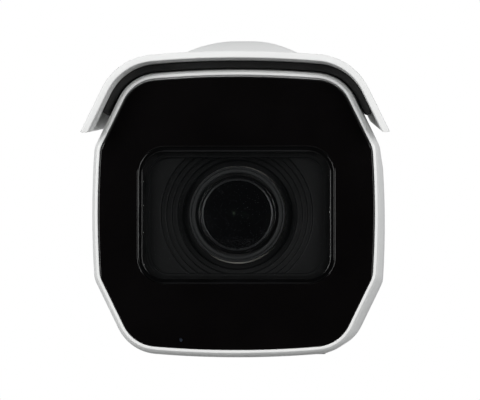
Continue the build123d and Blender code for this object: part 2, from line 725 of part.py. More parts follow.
with BuildPart() as lens_baffle:
    with BuildSketch(station(BAFFLE_BACK)):
        with Locations((0, WINDOW_Z)):
            RectangleRounded(*TRAY_OUTER)
    extrude(amount=SEAL_BACK - BAFFLE_BACK)
    with BuildSketch(station(BAFFLE_FLANGE_BACK)):
        with Locations((0, WINDOW_Z)):
            RectangleRounded(*TRAY_FLANGE)
        with GridLocations(2 * BAFFLE_SCREW_X, 2 * BAFFLE_SCREW_Z, 2, 2):
            Circle(SMALL_SCREW_RADIUS + 0.2, mode=Mode.SUBTRACT)
    extrude(amount=BEZEL_BACK - BAFFLE_FLANGE_BACK)
    add(tray_cavity.part, mode=Mode.SUBTRACT)
    with BuildSketch(station(BAFFLE_BACK)):
        with Locations((0, LENS_Z)):
            Circle(LENS_HOLE_RADIUS)
    extrude(amount=SEAL_BACK - BAFFLE_BACK, mode=Mode.SUBTRACT)
save(lens_baffle, "lens_baffle")

with BuildPart() as baffle_screws:
    with BuildSketch(station(BAFFLE_FLANGE_BACK)):
        with GridLocations(2 * BAFFLE_SCREW_X, 2 * BAFFLE_SCREW_Z, 2, 2):
            Circle(SMALL_SCREW_HEAD)
    extrude(amount=-1.6)
    with BuildSketch(station(BAFFLE_FLANGE_BACK)):
        with GridLocations(2 * BAFFLE_SCREW_X, 2 * BAFFLE_SCREW_Z, 2, 2):
            Circle(SMALL_SCREW_RADIUS)
    extrude(amount=SMALL_SCREW_LENGTH)
save(baffle_screws, "baffle_screws")

with BuildPart() as light_sensor:
    with BuildSketch(station(PANEL_BACK - 2)):
        with Locations((SENSOR_X, SENSOR_Z)):
            Rectangle(3.2, 2.4)
    extrude(amount=2)
    with BuildSketch(station(PANEL_BACK)):
        with Locations((SENSOR_X, SENSOR_Z)):
            Circle(SENSOR_HOLE_RADIUS - 0.05)
    extrude(amount=PANEL_FRONT - PANEL_BACK - 0.2)
save(light_sensor, "light_sensor")

LED_BOARD_THICK = 1.6

with BuildPart() as led_board:
    with BuildSketch(station(BEZEL_BACK)):
        with Locations((0, LED_ROW_Z), (0, -LED_ROW_Z)):
            RectangleRounded(*LED_BOARD_SIZE)
    extrude(amount=-LED_BOARD_THICK)
save(led_board, "led_board")

with BuildPart() as ir_leds:
    with BuildSketch(station(BEZEL_BACK)):
        with Locations(*led_places):
            Rectangle(LED_CHIP, LED_CHIP)
    extrude(amount=LED_CHIP_HEIGHT)
    with BuildSketch(station(BEZEL_BACK + LED_CHIP_HEIGHT)):
        with Locations(*led_places):
            Circle(LED_DOME_RADIUS)
    extrude(amount=0.9)
    fillet(ir_leds.edges().group_by(Axis.Y)[0], 0.7)
save(ir_leds, "ir_leds")

with BuildPart() as led_reflectors:
    with BuildSketch(station(BEZEL_BACK)):
        with Locations(*led_places):
            Circle(LED_POCKET_RADIUS - 0.1)
    extrude(amount=REFLECTOR_DEPTH)
    with BuildSketch(station(BEZEL_BACK)):
        with Locations(*led_places):
            Circle(REFLECTOR_THROAT)
    extrude(amount=REFLECTOR_DEPTH, taper=-20, mode=Mode.SUBTRACT)
save(led_reflectors, "led_reflectors")

# ---------------------------------------------------------------- lens

BARREL_BACK = 218
BARREL_FRONT = 268
BARREL_OUTER = 13.6
BARREL_INNER = 12.8
CELL_RADIUS = 12.5
CELL_FRONT = 271
CELL_BACK = 252
ELEMENT_RADIUS = 11.65
HOOD_RING_RADIUS = 15.4
HOOD_RING_INNER = 13
HOOD_RING_LENGTH = 4
BARREL_FLANGE_RADIUS = 17
INNER_RADIUS = 8.65
CELL_STEP = 266.5
INNER_SEAT = 261

with BuildPart() as lens_hood_ring:
    with BuildSketch(station(BARREL_FRONT)):
        with Locations((0, LENS_Z)):
            Circle(HOOD_RING_RADIUS)
            Circle(HOOD_RING_INNER, mode=Mode.SUBTRACT)
    extrude(amount=HOOD_RING_LENGTH)
    fillet(lens_hood_ring.edges().group_by(Axis.Y)[0], 0.9)
save(lens_hood_ring, "lens_hood_ring")

with BuildPart() as lens_barrel:
    with BuildSketch(station(BARREL_BACK)):
        with Locations((0, LENS_Z)):
            Circle(BARREL_OUTER)
            Circle(BARREL_INNER, mode=Mode.SUBTRACT)
    extrude(amount=BARREL_FRONT - BARREL_BACK)
    with BuildSketch(station(BARREL_BACK)):
        with Locations((0, LENS_Z)):
            Circle(BARREL_FLANGE_RADIUS)
            Circle(BARREL_INNER, mode=Mode.SUBTRACT)
    extrude(amount=2)
save(lens_barrel, "lens_barrel")

with BuildPart() as focus_cell:
    with BuildSketch(side_plane(z=LENS_Z)):
        with BuildLine():
            Polyline(
                (CELL_BACK, INNER_RADIUS + 0.05),
                (CELL_BACK, CELL_RADIUS),
                (CELL_FRONT, CELL_RADIUS),
                (CELL_FRONT, ELEMENT_RADIUS + 0.05),
                (CELL_STEP, ELEMENT_RADIUS + 0.05),
                (CELL_STEP, INNER_RADIUS + 0.85),
                (INNER_SEAT, INNER_RADIUS + 0.85),
                (INNER_SEAT, INNER_RADIUS + 0.05),
                close=True,
            )
        make_face()
    revolve(axis=lens_axis())
save(focus_cell, "focus_cell")

RETAINING_BACK = 269.3
RETAINING_FRONT = 270.7

with BuildPart() as lens_retaining_ring:
    with BuildSketch(side_plane(z=LENS_Z)):
        with BuildLine():
            Polyline(
                (RETAINING_BACK, 11),
                (RETAINING_BACK, 11.7),
                (RETAINING_FRONT, 11.7),
                (RETAINING_FRONT, 11.4),
                (RETAINING_FRONT - 0.8, 11),
                close=True,
            )
        make_face()
    revolve(axis=lens_axis())
save(lens_retaining_ring, "lens_retaining_ring")


def element_face(radius, front_apex, front_edge, back_apex, back_edge, back_radius):
    """Half the section of a lens element, from its two apexes and the edges of its curves."""
    with BuildSketch() as section:
        with BuildLine():
            TangentArc((front_apex, 0), (front_edge, radius - 0.65), tangent=(0, 1))
            Polyline(
                (front_edge, radius - 0.65),
                (front_edge, radius),
                (back_edge, radius),
                (back_edge, back_radius),
            )
            TangentArc((back_apex, 0), (back_edge, back_radius), tangent=(0, 1))
            Line((back_apex, 0), (front_apex, 0))
        make_face()
    return section.sketch


with BuildPart() as front_element:
    with BuildSketch(side_plane(z=LENS_Z)):
        add(element_face(ELEMENT_RADIUS, 271.1, 269.2, 269.6, CELL_STEP, 7.6))
    revolve(axis=lens_axis())
save(front_element, "front_element")

with BuildPart() as inner_element:
    with BuildSketch(side_plane(z=LENS_Z)):
        add(element_face(INNER_RADIUS, 260.6, 259.4, 255.6, 256.6, INNER_RADIUS - 0.65))
    revolve(axis=lens_axis())
save(inner_element, "inner_element")

ZOOM_CELL_BACK = 220
ZOOM_CELL_FRONT = 228
ZOOM_ELEMENT_RADIUS = 7

with BuildPart() as zoom_cell:
    with BuildSketch(station(ZOOM_CELL_BACK)):
        with Locations((0, LENS_Z)):
            Circle(CELL_RADIUS)
            Circle(ZOOM_ELEMENT_RADIUS + 0.05, mode=Mode.SUBTRACT)
    extrude(amount=ZOOM_CELL_FRONT - ZOOM_CELL_BACK)
save(zoom_cell, "zoom_cell")

with BuildPart() as zoom_element:
    with BuildSketch(side_plane(z=LENS_Z)):
        add(element_face(ZOOM_ELEMENT_RADIUS, 227, 225.8, 221.2, 222.4, ZOOM_ELEMENT_RADIUS - 0.65))
    revolve(axis=lens_axis())
save(zoom_element, "zoom_element")

STOP_BACK = 245
STOP_RADIUS = 3.6

with BuildPart() as aperture_stop:
    with BuildSketch(station(STOP_BACK)):
        with Locations((0, LENS_Z)):
            Circle(BARREL_INNER)
            Circle(STOP_RADIUS, mode=Mode.SUBTRACT)
    extrude(amount=0.8)
save(aperture_stop, "aperture_stop")

# Each adjusting ring is geared to its motor's pinion.
GEAR_MODULE = 0.5
RING_TEETH = 68
PINION_TEETH = 24
GEAR_BACKLASH = 0.1
GEAR_SPACING = GEAR_MODULE * (RING_TEETH + PINION_TEETH) / 2 + GEAR_BACKLASH
GEAR_WIDTH = 7
FOCUS_RING_BACK = 255
ZOOM_RING_BACK = 239
MOTOR_RADIUS = 5
MOTOR_PLATE = 2
MOTOR_PLATE_GAP = 0.4
MOTOR_COLLAR_RADIUS = 16.5
MOTOR_SHAFT_RADIUS = 1
FOCUS_MOTOR = (FOCUS_RING_BACK, GEAR_SPACING, 20)
ZOOM_MOTOR = (ZOOM_RING_BACK, -GEAR_SPACING, 16.5)


def gear_face(teeth, first_tooth):
    """A spur gear's face with plain tapered teeth, turned to first_tooth degrees."""
    pitch = GEAR_MODULE * teeth / 2
    root = pitch - 1.2 * GEAR_MODULE
    height = 2.1 * GEAR_MODULE
    with BuildSketch() as gear:
        Circle(root)
        with PolarLocations(root + height / 2 - 0.1, teeth, start_angle=first_tooth):
            Trapezoid(0.95, height, 72, rotation=-90)
    return gear.sketch


def adjusting_ring(back):
    with BuildPart() as ring:
        with BuildSketch(station(back)):
            with Locations((0, LENS_Z)):
                add(gear_face(RING_TEETH, 0))
                Circle(BARREL_OUTER + 0.3, mode=Mode.SUBTRACT)
        extrude(amount=GEAR_WIDTH)
    return ring


def motor_pinion(back, x):
    with BuildPart() as pinion:
        with BuildSketch(station(back)):
            with Locations((x, LENS_Z)):
                add(gear_face(PINION_TEETH, 180 / PINION_TEETH))
        extrude(amount=GEAR_WIDTH)
        with BuildSketch(station(back)):
            with Locations((x, LENS_Z)):
                Circle(MOTOR_SHAFT_RADIUS)
        extrude(amount=-MOTOR_PLATE - 1)
    return pinion


save(adjusting_ring(FOCUS_RING_BACK), "focus_ring")
save(adjusting_ring(ZOOM_RING_BACK), "zoom_ring")
save(motor_pinion(FOCUS_RING_BACK, GEAR_SPACING), "focus_pinion")
save(motor_pinion(ZOOM_RING_BACK, -GEAR_SPACING), "zoom_pinion")

with BuildPart() as lens_motors:
    for back, x, can_length in (FOCUS_MOTOR, ZOOM_MOTOR):
        with BuildSketch(station(back - MOTOR_PLATE_GAP - MOTOR_PLATE)):
            with Locations((0, LENS_Z)):
                Circle(MOTOR_COLLAR_RADIUS)
            with Locations((x, LENS_Z)):
                Circle(MOTOR_RADIUS + 0.6)
            with Locations((x / 2, LENS_Z)):
                Rectangle(GEAR_SPACING, 2 * MOTOR_RADIUS)
            with Locations((0, LENS_Z)):
                Circle(BARREL_OUTER, mode=Mode.SUBTRACT)
            with Locations((x, LENS_Z)):
                Circle(MOTOR_SHAFT_RADIUS + RUNNING_FIT, mode=Mode.SUBTRACT)
        extrude(amount=MOTOR_PLATE)
        with BuildSketch(station(back - MOTOR_PLATE_GAP - MOTOR_PLATE)):
            with Locations((x, LENS_Z)):
                Circle(MOTOR_RADIUS)
                Circle(MOTOR_SHAFT_RADIUS + RUNNING_FIT, mode=Mode.SUBTRACT)
        extrude(amount=-can_length)
save(lens_motors, "lens_motors")

# ---------------------------------------------------------------- sensor stack

MOUNT_BACK = 214
MOUNT_HALF = 17.5
MOUNT_TOP = LENS_Z + 18
MOUNT_HOLE_RADIUS = 8
TRAY_TOP = -22
TRAY_THICK = 2
LEG_X = 16
LEG_Z = 14
IR_HOUSING_BACK = 209
SENSOR_BOARD_FRONT = 206
SLIDER_TRAVEL = 9
SLIDER_SIZE = (15, 10.4)
IR_HOUSING_SIZE = (28, 22)
IR_SLOT_SIZE = (24.4, 11)
SENSOR_BOARD_SIZE = (38, 36)
SENSOR_SIZE = (13, 11)
BOARD_THICK = 1.6

with BuildPart() as lens_mount:
    with BuildSketch(station(MOUNT_BACK)):
        with Locations((0, (MOUNT_TOP + TRAY_TOP) / 2)):
            Rectangle(2 * MOUNT_HALF, MOUNT_TOP - TRAY_TOP)
        with Locations((0, LENS_Z)):
            Circle(MOUNT_HOLE_RADIUS, mode=Mode.SUBTRACT)
    extrude(amount=BARREL_BACK - MOUNT_BACK)
    with BuildSketch(station(SENSOR_BOARD_FRONT)):
        with Locations((0, LENS_Z)):
            with GridLocations(2 * LEG_X, 2 * LEG_Z, 2, 2):
                Circle(1.5)
    extrude(amount=MOUNT_BACK - SENSOR_BOARD_FRONT)
save(lens_mount, "lens_mount")

with BuildPart() as ir_cut_housing:
    with BuildSketch(station(IR_HOUSING_BACK)):
        with Locations((0, LENS_Z)):
            Rectangle(*IR_HOUSING_SIZE)
    extrude(amount=MOUNT_BACK - IR_HOUSING_BACK)
    with BuildSketch(station(IR_HOUSING_BACK + 1.5)):
        with Locations((0, LENS_Z)):
            Rectangle(*IR_SLOT_SIZE)
    extrude(amount=2, mode=Mode.SUBTRACT)
    with BuildSketch(station(IR_HOUSING_BACK)):
        with Locations((0, LENS_Z)):
            Circle(4.5)
    extrude(amount=MOUNT_BACK - IR_HOUSING_BACK, mode=Mode.SUBTRACT)
save(ir_cut_housing, "ir_cut_housing")

with BuildPart() as ir_cut_slider:
    with BuildSketch(station(IR_HOUSING_BACK + 2)):
        with Locations((-SLIDER_TRAVEL / 2, LENS_Z)):
            Rectangle(*SLIDER_SIZE)
    extrude(amount=1)
save(ir_cut_slider, "ir_cut_slider")

with BuildPart() as sensor_board:
    with BuildSketch(station(SENSOR_BOARD_FRONT)):
        with Locations((0, LENS_Z)):
            Rectangle(*SENSOR_BOARD_SIZE)
    extrude(amount=-BOARD_THICK)
save(sensor_board, "sensor_board")

with BuildPart() as image_sensor:
    with BuildSketch(station(SENSOR_BOARD_FRONT)):
        with Locations((0, LENS_Z)):
            Rectangle(*SENSOR_SIZE)
    extrude(amount=2)
save(image_sensor, "image_sensor")

# ---------------------------------------------------------------- chassis and main board

TRAY_BACK = 130
TRAY_FRONT = 262
BOARD_TOP = -34.4
BOARD_BOTTOM = BOARD_TOP - BOARD_THICK
BOARD_BACK = 134
BOARD_FRONT = 250
TRAY_WIDTH = 83
TRAY_CUT_STATION = 160
BOARD_WIDTH = 52
STANDOFF_X = 22
STANDOFFS = (142, 242)
SOCKET_HEIGHT = 2.2
CARD_WIDTH = 11
SOCKET_HALF = 7
SOCKET_X = -7
SWITCH_X = 12
BUTTON_RADIUS = 1.6
CARD_Z = BOARD_BOTTOM - 1.4

standoff_places = [(x, -distance) for x in (-STANDOFF_X, STANDOFF_X) for distance in STANDOFFS]

with BuildPart() as chassis:
    with BuildSketch(Plane.XY.offset(TRAY_TOP - TRAY_THICK)):
        with Locations((0, -(TRAY_BACK + TRAY_FRONT) / 2)):
            Rectangle(TRAY_WIDTH, TRAY_FRONT - TRAY_BACK)
        with Locations((0, -TRAY_CUT_STATION)):
            RectangleRounded(44, 30, 4, mode=Mode.SUBTRACT)
    extrude(amount=TRAY_THICK)
    with BuildSketch(Plane.XY.offset(TRAY_TOP - TRAY_THICK)):
        with Locations(*standoff_places):
            Circle(2.5)
    extrude(amount=BOARD_TOP - TRAY_TOP + TRAY_THICK)
save(chassis, "chassis")

with BuildPart() as main_board:
    with BuildSketch(Plane.XY.offset(BOARD_BOTTOM)):
        with Locations((0, -(BOARD_BACK + BOARD_FRONT) / 2)):
            RectangleRounded(BOARD_WIDTH, BOARD_FRONT - BOARD_BACK, 2)
        with Locations(*standoff_places):
            Circle(1.6, mode=Mode.SUBTRACT)
    extrude(amount=BOARD_THICK)
save(main_board, "main_board")

# Width, length, height and place of each plain part, above and below the board.
TOP_PARTS = ((16, 16, 2, 0, -215), (10, 12, 1.2, -15, -190), (22, 8, 7, 8, -146), (8, 8, 6, -12, -150))
BOTTOM_PARTS = ((12, 12, 1.4, 10, -220), (8, 14, 3, -14, -228), (10, 5, 3.4, 14, -150))

with BuildPart() as board_parts:
    for width, length, height, x, y in TOP_PARTS:
        with BuildSketch(Plane.XY.offset(BOARD_TOP)):
            with Locations((x, y)):
                Rectangle(width, length)
        extrude(amount=height)
    for width, length, height, x, y in BOTTOM_PARTS:
        with BuildSketch(Plane.XY.offset(BOARD_BOTTOM)):
            with Locations((x, y)):
                Rectangle(width, length)
        extrude(amount=-height)
    with BuildSketch(Plane.XY.offset(BOARD_BOTTOM)):
        with Locations((SOCKET_X, -COVER_STATION)):
            Rectangle(2 * SOCKET_HALF, CARD_WIDTH + 2)
        with Locations((SWITCH_X, -COVER_STATION)):
            Rectangle(6, 6)
    extrude(amount=-SOCKET_HEIGHT)
    with BuildSketch(Plane.XY.offset(CARD_Z - 0.2)):
        with Locations((SOCKET_X - 1, -COVER_STATION)):
            Rectangle(2 * SOCKET_HALF, CARD_WIDTH + 0.6)
    extrude(amount=1.2, mode=Mode.SUBTRACT)
    with BuildSketch(Plane.XY.offset(BOARD_BOTTOM - SOCKET_HEIGHT)):
        with Locations((SWITCH_X, -COVER_STATION)):
            Circle(BUTTON_RADIUS + 0.3)
    extrude(amount=1.4, mode=Mode.SUBTRACT)
save(board_parts, "board_parts")

with BuildPart() as sd_card:
    with BuildSketch(Plane.XY.offset(CARD_Z)):
        with Locations((SOCKET_X - 1.4, -COVER_STATION)):
            Rectangle(2 * SOCKET_HALF, CARD_WIDTH)
    extrude(amount=0.8)
save(sd_card, "sd_card")

with BuildPart() as reset_button:
    with BuildSketch(Plane.XY.offset(BOARD_BOTTOM - 3.8)):
        with Locations((SWITCH_X, -COVER_STATION)):
            Circle(BUTTON_RADIUS)
    extrude(amount=2.4)
save(reset_button, "reset_button")

# ---------------------------------------------------------------- sun shield

SHIELD_INNER = RIM_GROW + SHIELD_GAP
SHIELD_OUTER = SHIELD_INNER + SHIELD_WALL
SHIELD_TIP_Z = 25.5
SHIELD_BACK_TIP_Z = 36
FOAM_TIP_Z = 32.5
FOAM_BACK = 262
FOAM_FRONT = 276
POD_HALF = 26
POD_SIDE_Z = 49.4
POD_FOOT_Z = 49.2
POD_CREST_Z = 58.9
POD_NOSE = (250, 216)
POD_TAIL = (146, 134)
SLOT_FLOOR_Z = 54
SLOT_TRAVEL = 10
SLOT_WIDTH = 4.6
TROUGH_LENGTH = 62
TROUGH_WIDTH = 9.4
SHIELD_HEAD_RADIUS = 4
SHIELD_HEAD_HEIGHT = 3
BELOW = 200

with BuildPart() as pod:
    with BuildSketch(station(POD_TAIL[1])):
        with BuildLine():
            ThreePointArc((-POD_HALF, POD_SIDE_Z), (0, POD_CREST_Z), (POD_HALF, POD_SIDE_Z))
            Polyline(
                (POD_HALF, POD_SIDE_Z),
                (POD_HALF, POD_FOOT_Z),
                (-POD_HALF, POD_FOOT_Z),
                (-POD_HALF, POD_SIDE_Z),
            )
        make_face()
    extrude(amount=POD_NOSE[0] - POD_TAIL[1])
    with BuildSketch(side_plane(x=POD_HALF)):
        with BuildLine():
            Line((POD_TAIL[0], POD_CREST_Z), (POD_NOSE[1], POD_CREST_Z))
            TangentArc((POD_NOSE[1], POD_CREST_Z), (POD_NOSE[0], POD_SIDE_Z), tangent=(1, 0))
            Polyline(
                (POD_NOSE[0], POD_SIDE_Z),
                (POD_NOSE[0], POD_FOOT_Z),
                (POD_TAIL[1], POD_FOOT_Z),
                (POD_TAIL[1], POD_SIDE_Z),
            )
            TangentArc((POD_TAIL[0], POD_CREST_Z), (POD_TAIL[1], POD_SIDE_Z), tangent=(-1, 0))
        make_face()
    extrude(amount=2 * POD_HALF, mode=Mode.INTERSECT)

with BuildPart() as sunshield:
    with BuildSketch(station(SHIELD_BACK)):
        add(body_outline(SHIELD_OUTER))
        add(body_outline(SHIELD_INNER), mode=Mode.SUBTRACT)
    extrude(amount=SHIELD_FRONT - SHIELD_BACK)
    with BuildSketch(side_plane(x=BELOW / 2)):
        with BuildLine():
            Polyline(
                (SHIELD_BACK, SHIELD_BACK_TIP_Z),
                (SHIELD_FRONT, SHIELD_TIP_Z),
                (SHIELD_FRONT, -BELOW),
                (SHIELD_BACK, -BELOW),
                close=True,
            )
        make_face()
    extrude(amount=BELOW, mode=Mode.SUBTRACT)
    add(pod.part)
    with BuildSketch(Plane.XY.offset(PANEL_TOP)):
        with Locations((0, -(RAIL_BACK + RAIL_FRONT) / 2)):
            Rectangle(2 * RAIL_HALF + 0.6, RAIL_FRONT - RAIL_BACK + 2 * SLOT_TRAVEL + 1)
    extrude(amount=RAIL_TOP - PANEL_TOP, mode=Mode.SUBTRACT)
    with BuildSketch(Plane.XY.offset(SLOT_FLOOR_Z)):
        with Locations((0, -sum(SHIELD_SCREWS) / 2)):
            SlotOverall(TROUGH_LENGTH, TROUGH_WIDTH, rotation=90)
    extrude(amount=10, mode=Mode.SUBTRACT)
    with BuildSketch(Plane.XY.offset(RAIL_TOP)):
        for screw in SHIELD_SCREWS:
            with Locations((0, -screw)):
                SlotCenterToCenter(2 * SLOT_TRAVEL, SLOT_WIDTH, rotation=90)
    extrude(amount=4, mode=Mode.SUBTRACT)
save(sunshield, "sunshield")

with BuildPart() as shield_foam_strip:
    with BuildSketch(station(FOAM_BACK)):
        add(body_outline(SHIELD_INNER))
        add(body_outline(HOUSING_GROW + 0.3), mode=Mode.SUBTRACT)
        with Locations((0, FOAM_TIP_Z - BELOW / 2)):
            Rectangle(BELOW, BELOW, mode=Mode.SUBTRACT)
    extrude(amount=FOAM_FRONT - FOAM_BACK)
save(shield_foam_strip, "shield_foam_strip")

with BuildPart() as shield_screws:
    with BuildSketch(Plane.XY.offset(SLOT_FLOOR_Z)):
        for screw in SHIELD_SCREWS:
            with Locations((0, -screw)):
                Circle(SHIELD_HEAD_RADIUS)
    extrude(amount=SHIELD_HEAD_HEIGHT)
    chamfer(shield_screws.edges().group_by(Axis.Z)[-1], 0.4)
    with BuildSketch(Plane.XY.offset(SLOT_FLOOR_Z)):
        for screw in SHIELD_SCREWS:
            with Locations((0, -screw)):
                Circle(SHIELD_SCREW_RADIUS)
    extrude(amount=-9.5)
    with BuildSketch(Plane.XY.offset(SLOT_FLOOR_Z + SHIELD_HEAD_HEIGHT)):
        for screw in SHIELD_SCREWS:
            with Locations((0, -screw)):
                RegularPolygon(1.7, 6)
    extrude(amount=-2, mode=Mode.SUBTRACT)
save(shield_screws, "shield_screws")
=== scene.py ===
import json
import math

import bmesh
import bpy
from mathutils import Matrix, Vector


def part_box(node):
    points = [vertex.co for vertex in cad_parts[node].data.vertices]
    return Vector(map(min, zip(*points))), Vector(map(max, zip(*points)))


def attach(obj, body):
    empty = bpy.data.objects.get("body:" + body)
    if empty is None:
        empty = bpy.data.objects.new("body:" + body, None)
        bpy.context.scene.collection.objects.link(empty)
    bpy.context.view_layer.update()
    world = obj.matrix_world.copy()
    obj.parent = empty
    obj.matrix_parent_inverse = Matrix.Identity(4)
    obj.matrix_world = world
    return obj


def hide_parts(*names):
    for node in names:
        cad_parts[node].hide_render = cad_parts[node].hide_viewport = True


# The looks of a wall-mounted bullet security camera. Lengths in this script are in
# millimetres and are turned into metres where a mesh is made. The wall is the plane Y = 0,
# the camera looks along -Y, and a station is a distance from the wall.

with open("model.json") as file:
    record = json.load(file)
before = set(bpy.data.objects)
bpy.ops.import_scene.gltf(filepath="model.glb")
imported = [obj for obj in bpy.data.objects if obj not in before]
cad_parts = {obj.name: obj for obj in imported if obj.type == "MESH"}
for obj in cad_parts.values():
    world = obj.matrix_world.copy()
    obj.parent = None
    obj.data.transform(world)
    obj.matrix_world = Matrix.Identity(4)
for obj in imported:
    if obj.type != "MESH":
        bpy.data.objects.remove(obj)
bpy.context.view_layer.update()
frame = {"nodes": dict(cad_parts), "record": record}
MM = 0.001

# Body outline, as half sizes of the black front panel
PANEL_TOP = 43.95
PANEL_SIDE = 44.3
SHOULDER = Vector((43.6, 20.6))
CORNER = Vector((33.07, 42.2))
CORNER_ROUND = 12
SHOULDER_ROUND = 8
PANEL_SHOULDER_ROUND = 2

# Steps along the arcs of a quarter of the outline
TOP_STEPS = 8
CORNER_STEPS = 12
SHOULDER_STEPS = 8
SIDE_STEPS = 6

# How far each outline grows beyond the panel's
RIM_FACE_GROW = 1.0
RIM_GROW = 1.7
HOUSING_GROW = 2.5
SHIELD_INNER = 5.0
SHIELD_OUTER = 7.2
FOAM_INNER = 2.6

# Heights of the front's centres
PANEL_Z = -0.4
WINDOW_Z = -0.85
LENS_Z = -0.45

# Stations
BEZEL_BACK = 270.8
BEVEL_START = 278.6
RIM = 280
PANEL_BACK = 276.9
PANEL_FRONT = 279.4
FRAME_BACK = 276.6
FRAME_FRONT = 279.1
GLASS_FRONT = 278.6
SEAL_BACK = 275.6
SHIELD_BACK = 130
SHIELD_FRONT = 290

# How far a cutter reaches past the face it cuts
OVERSHOOT = 1


# ------------------------------------------------------------------ outlines

def arc_points(centre, start, end, steps):
    """Points on the short arc round centre from start to end, both included."""
    first = math.atan2(start.y - centre.y, start.x - centre.x)
    turn = math.atan2(end.y - centre.y, end.x - centre.x) - first
    turn = (turn + math.pi) % (2 * math.pi) - math.pi
    radius = (start - centre).length
    return [
        centre + radius * Vector((math.cos(first + turn * i / steps), math.sin(first + turn * i / steps)))
        for i in range(steps + 1)
    ]


def full_turn(quarter):
    """A whole outline from its upper right quarter, which runs from the top to the side."""
    inner = quarter[1:-1]
    top, side = quarter[0], quarter[-1]
    upper_left = [Vector((-p.x, p.y)) for p in reversed(inner)]
    lower_left = [Vector((-p.x, -p.y)) for p in inner]
    lower_right = [Vector((p.x, -p.y)) for p in reversed(inner)]
    return [top, *inner, side, *lower_right, -top, *lower_left, -side, *upper_left]


def tangent_centre(big_centre, big_radius, point, normal, radius):
    """Centre of the round that touches a big circle from inside and the line through point."""
    along = Vector((-normal.y, normal.x))
    base = point - normal * radius - big_centre
    half = base.dot(along)
    reach = math.sqrt(half * half - base.length_squared + (big_radius - radius) ** 2)
    options = [big_centre + base + along * (reach * sign - half) for sign in (1, -1)]
    return min(options, key=lambda c: (c - point).length)


def body_outline(grow, shoulder=SHOULDER_ROUND):
    """The body's section: arched top and bottom, sloping shoulders and bowed sides."""
    sag, rise = PANEL_TOP - CORNER.y, PANEL_SIDE - SHOULDER.x
    top_radius = (CORNER.x ** 2 + sag ** 2) / (2 * sag)
    side_radius = (SHOULDER.y ** 2 + rise ** 2) / (2 * rise)
    top_centre = Vector((0, PANEL_TOP - top_radius))
    side_centre = Vector((PANEL_SIDE - side_radius, 0))
    slope = (SHOULDER - CORNER).normalized()
    normal = Vector((-slope.y, slope.x))
    on_slope = CORNER + normal * grow
    corner = CORNER_ROUND + grow
    upper = tangent_centre(top_centre, top_radius + grow, on_slope, normal, corner)
    lower = tangent_centre(side_centre, side_radius + grow, SHOULDER + normal * grow, normal, shoulder)
    upper_touch = top_centre + (upper - top_centre).normalized() * (top_radius + grow)
    lower_touch = side_centre + (lower - side_centre).normalized() * (side_radius + grow)
    crest = Vector((0, PANEL_TOP + grow))
    side = Vector((PANEL_SIDE + grow, 0))
    quarter = arc_points(top_centre, crest, upper_touch, TOP_STEPS)[:-1]
    quarter += arc_points(upper, upper_touch, upper + normal * corner, CORNER_STEPS)
    quarter += arc_points(lower, lower + normal * shoulder, lower_touch, SHOULDER_STEPS)
    quarter += arc_points(side_centre, lower_touch, side, SIDE_STEPS)[1:]
    return full_turn(quarter)


QUARTER_POINTS = len(body_outline(0)) // 4


def round_rect(width, height, radius):
    """A rounded rectangle with as many points as the body's outline."""
    straight = 8
    bend = QUARTER_POINTS - 2 * straight
    half = Vector((width / 2, height / 2))
    centre = half - Vector((radius, radius))
    top = [Vector((centre.x * i / straight, half.y)) for i in range(straight)]
    turn = arc_points(centre, Vector((centre.x, half.y)), Vector((half.x, centre.y)), bend)
    side = [Vector((half.x, centre.y * (1 - i / straight))) for i in range(1, straight + 1)]
    return full_turn(top + turn + side)


def rounded(points, radius, steps=4, closed=True):
    """The same line with its corners turned into arcs. A third value is that corner's own radius."""
    line = []
    count = len(points)
    for i, entry in enumerate(points):
        here = Vector(entry[:2])
        wanted = entry[2] if len(entry) > 2 else radius
        if not wanted or (not closed and i in (0, count - 1)):
            line.append(here)
            continue
        back = Vector(points[i - 1][:2]) - here
        ahead = Vector(points[(i + 1) % count][:2]) - here
        half = back.angle(ahead) / 2
        run = min(wanted / math.tan(half), 0.48 * min(back.length, ahead.length))
        reach = run * math.tan(half)
        centre = here + (back.normalized() + ahead.normalized()).normalized() * reach / math.sin(half)
        line += arc_points(centre, here + back.normalized() * run, here + ahead.normalized() * run, steps)
    return line


# ------------------------------------------------------------------ meshes

# Welding distances in metres, and the bend in degrees under which faces count as flat
WELD = 1e-7
NODE_WELD = 2e-6
FLAT_BEND = 0.8


def make_mesh(name, points, faces):
    """A mesh object from points in millimetres, welded, with its normals outward."""
    mesh = bpy.data.meshes.new(name)
    mesh.from_pydata([Vector(p) * MM for p in points], [], faces)
    piece = bpy.data.objects.new(name, mesh)
    bpy.context.scene.collection.objects.link(piece)
    work = bmesh.new()
    work.from_mesh(mesh)
    bmesh.ops.remove_doubles(work, verts=work.verts, dist=WELD)
    bmesh.ops.dissolve_degenerate(work, edges=work.edges, dist=WELD)
    bmesh.ops.recalc_face_normals(work, faces=work.faces)
    work.to_mesh(mesh)
    work.free()
    return piece


def shade(piece, degrees=32):
    piece.data.shade_smooth()
    piece.data.set_sharp_from_angle(angle=math.radians(degrees))


def section(points, station, height=0.0):
    """A flat outline stood across the body at a station."""
    return [(p.x, -station, p.y + height) for p in points]


def loft(name, rings, wrap=True):
    """Faces between rings of equal length: wrapped back to the first ring, or capped at both ends."""
    count = len(rings[0])
    faces = []
    for i in range(len(rings) if wrap else len(rings) - 1):
        here, there = i * count, (i + 1) % len(rings) * count
        for k in range(count):
            after = (k + 1) % count
            faces.append((here + k, here + after, there + after, there + k))
    if not wrap:
        faces.append(tuple(range(count)))
        faces.append(tuple(range((len(rings) - 1) * count, len(rings) * count)))
    return make_mesh(name, [p for ring in rings for p in ring], faces)


def lathe(name, profile, x=0.0, z=LENS_Z, segments=128, wrap=True):
    """A profile of (station, radius) turned round an axis along the camera."""
    rings = []
    for station, radius in profile:
        angles = [2 * math.pi * k / segments for k in range(segments)]
        rings.append([(x + radius * math.sin(a), -station, z + radius * math.cos(a)) for a in angles])
    return loft(name, rings, wrap)


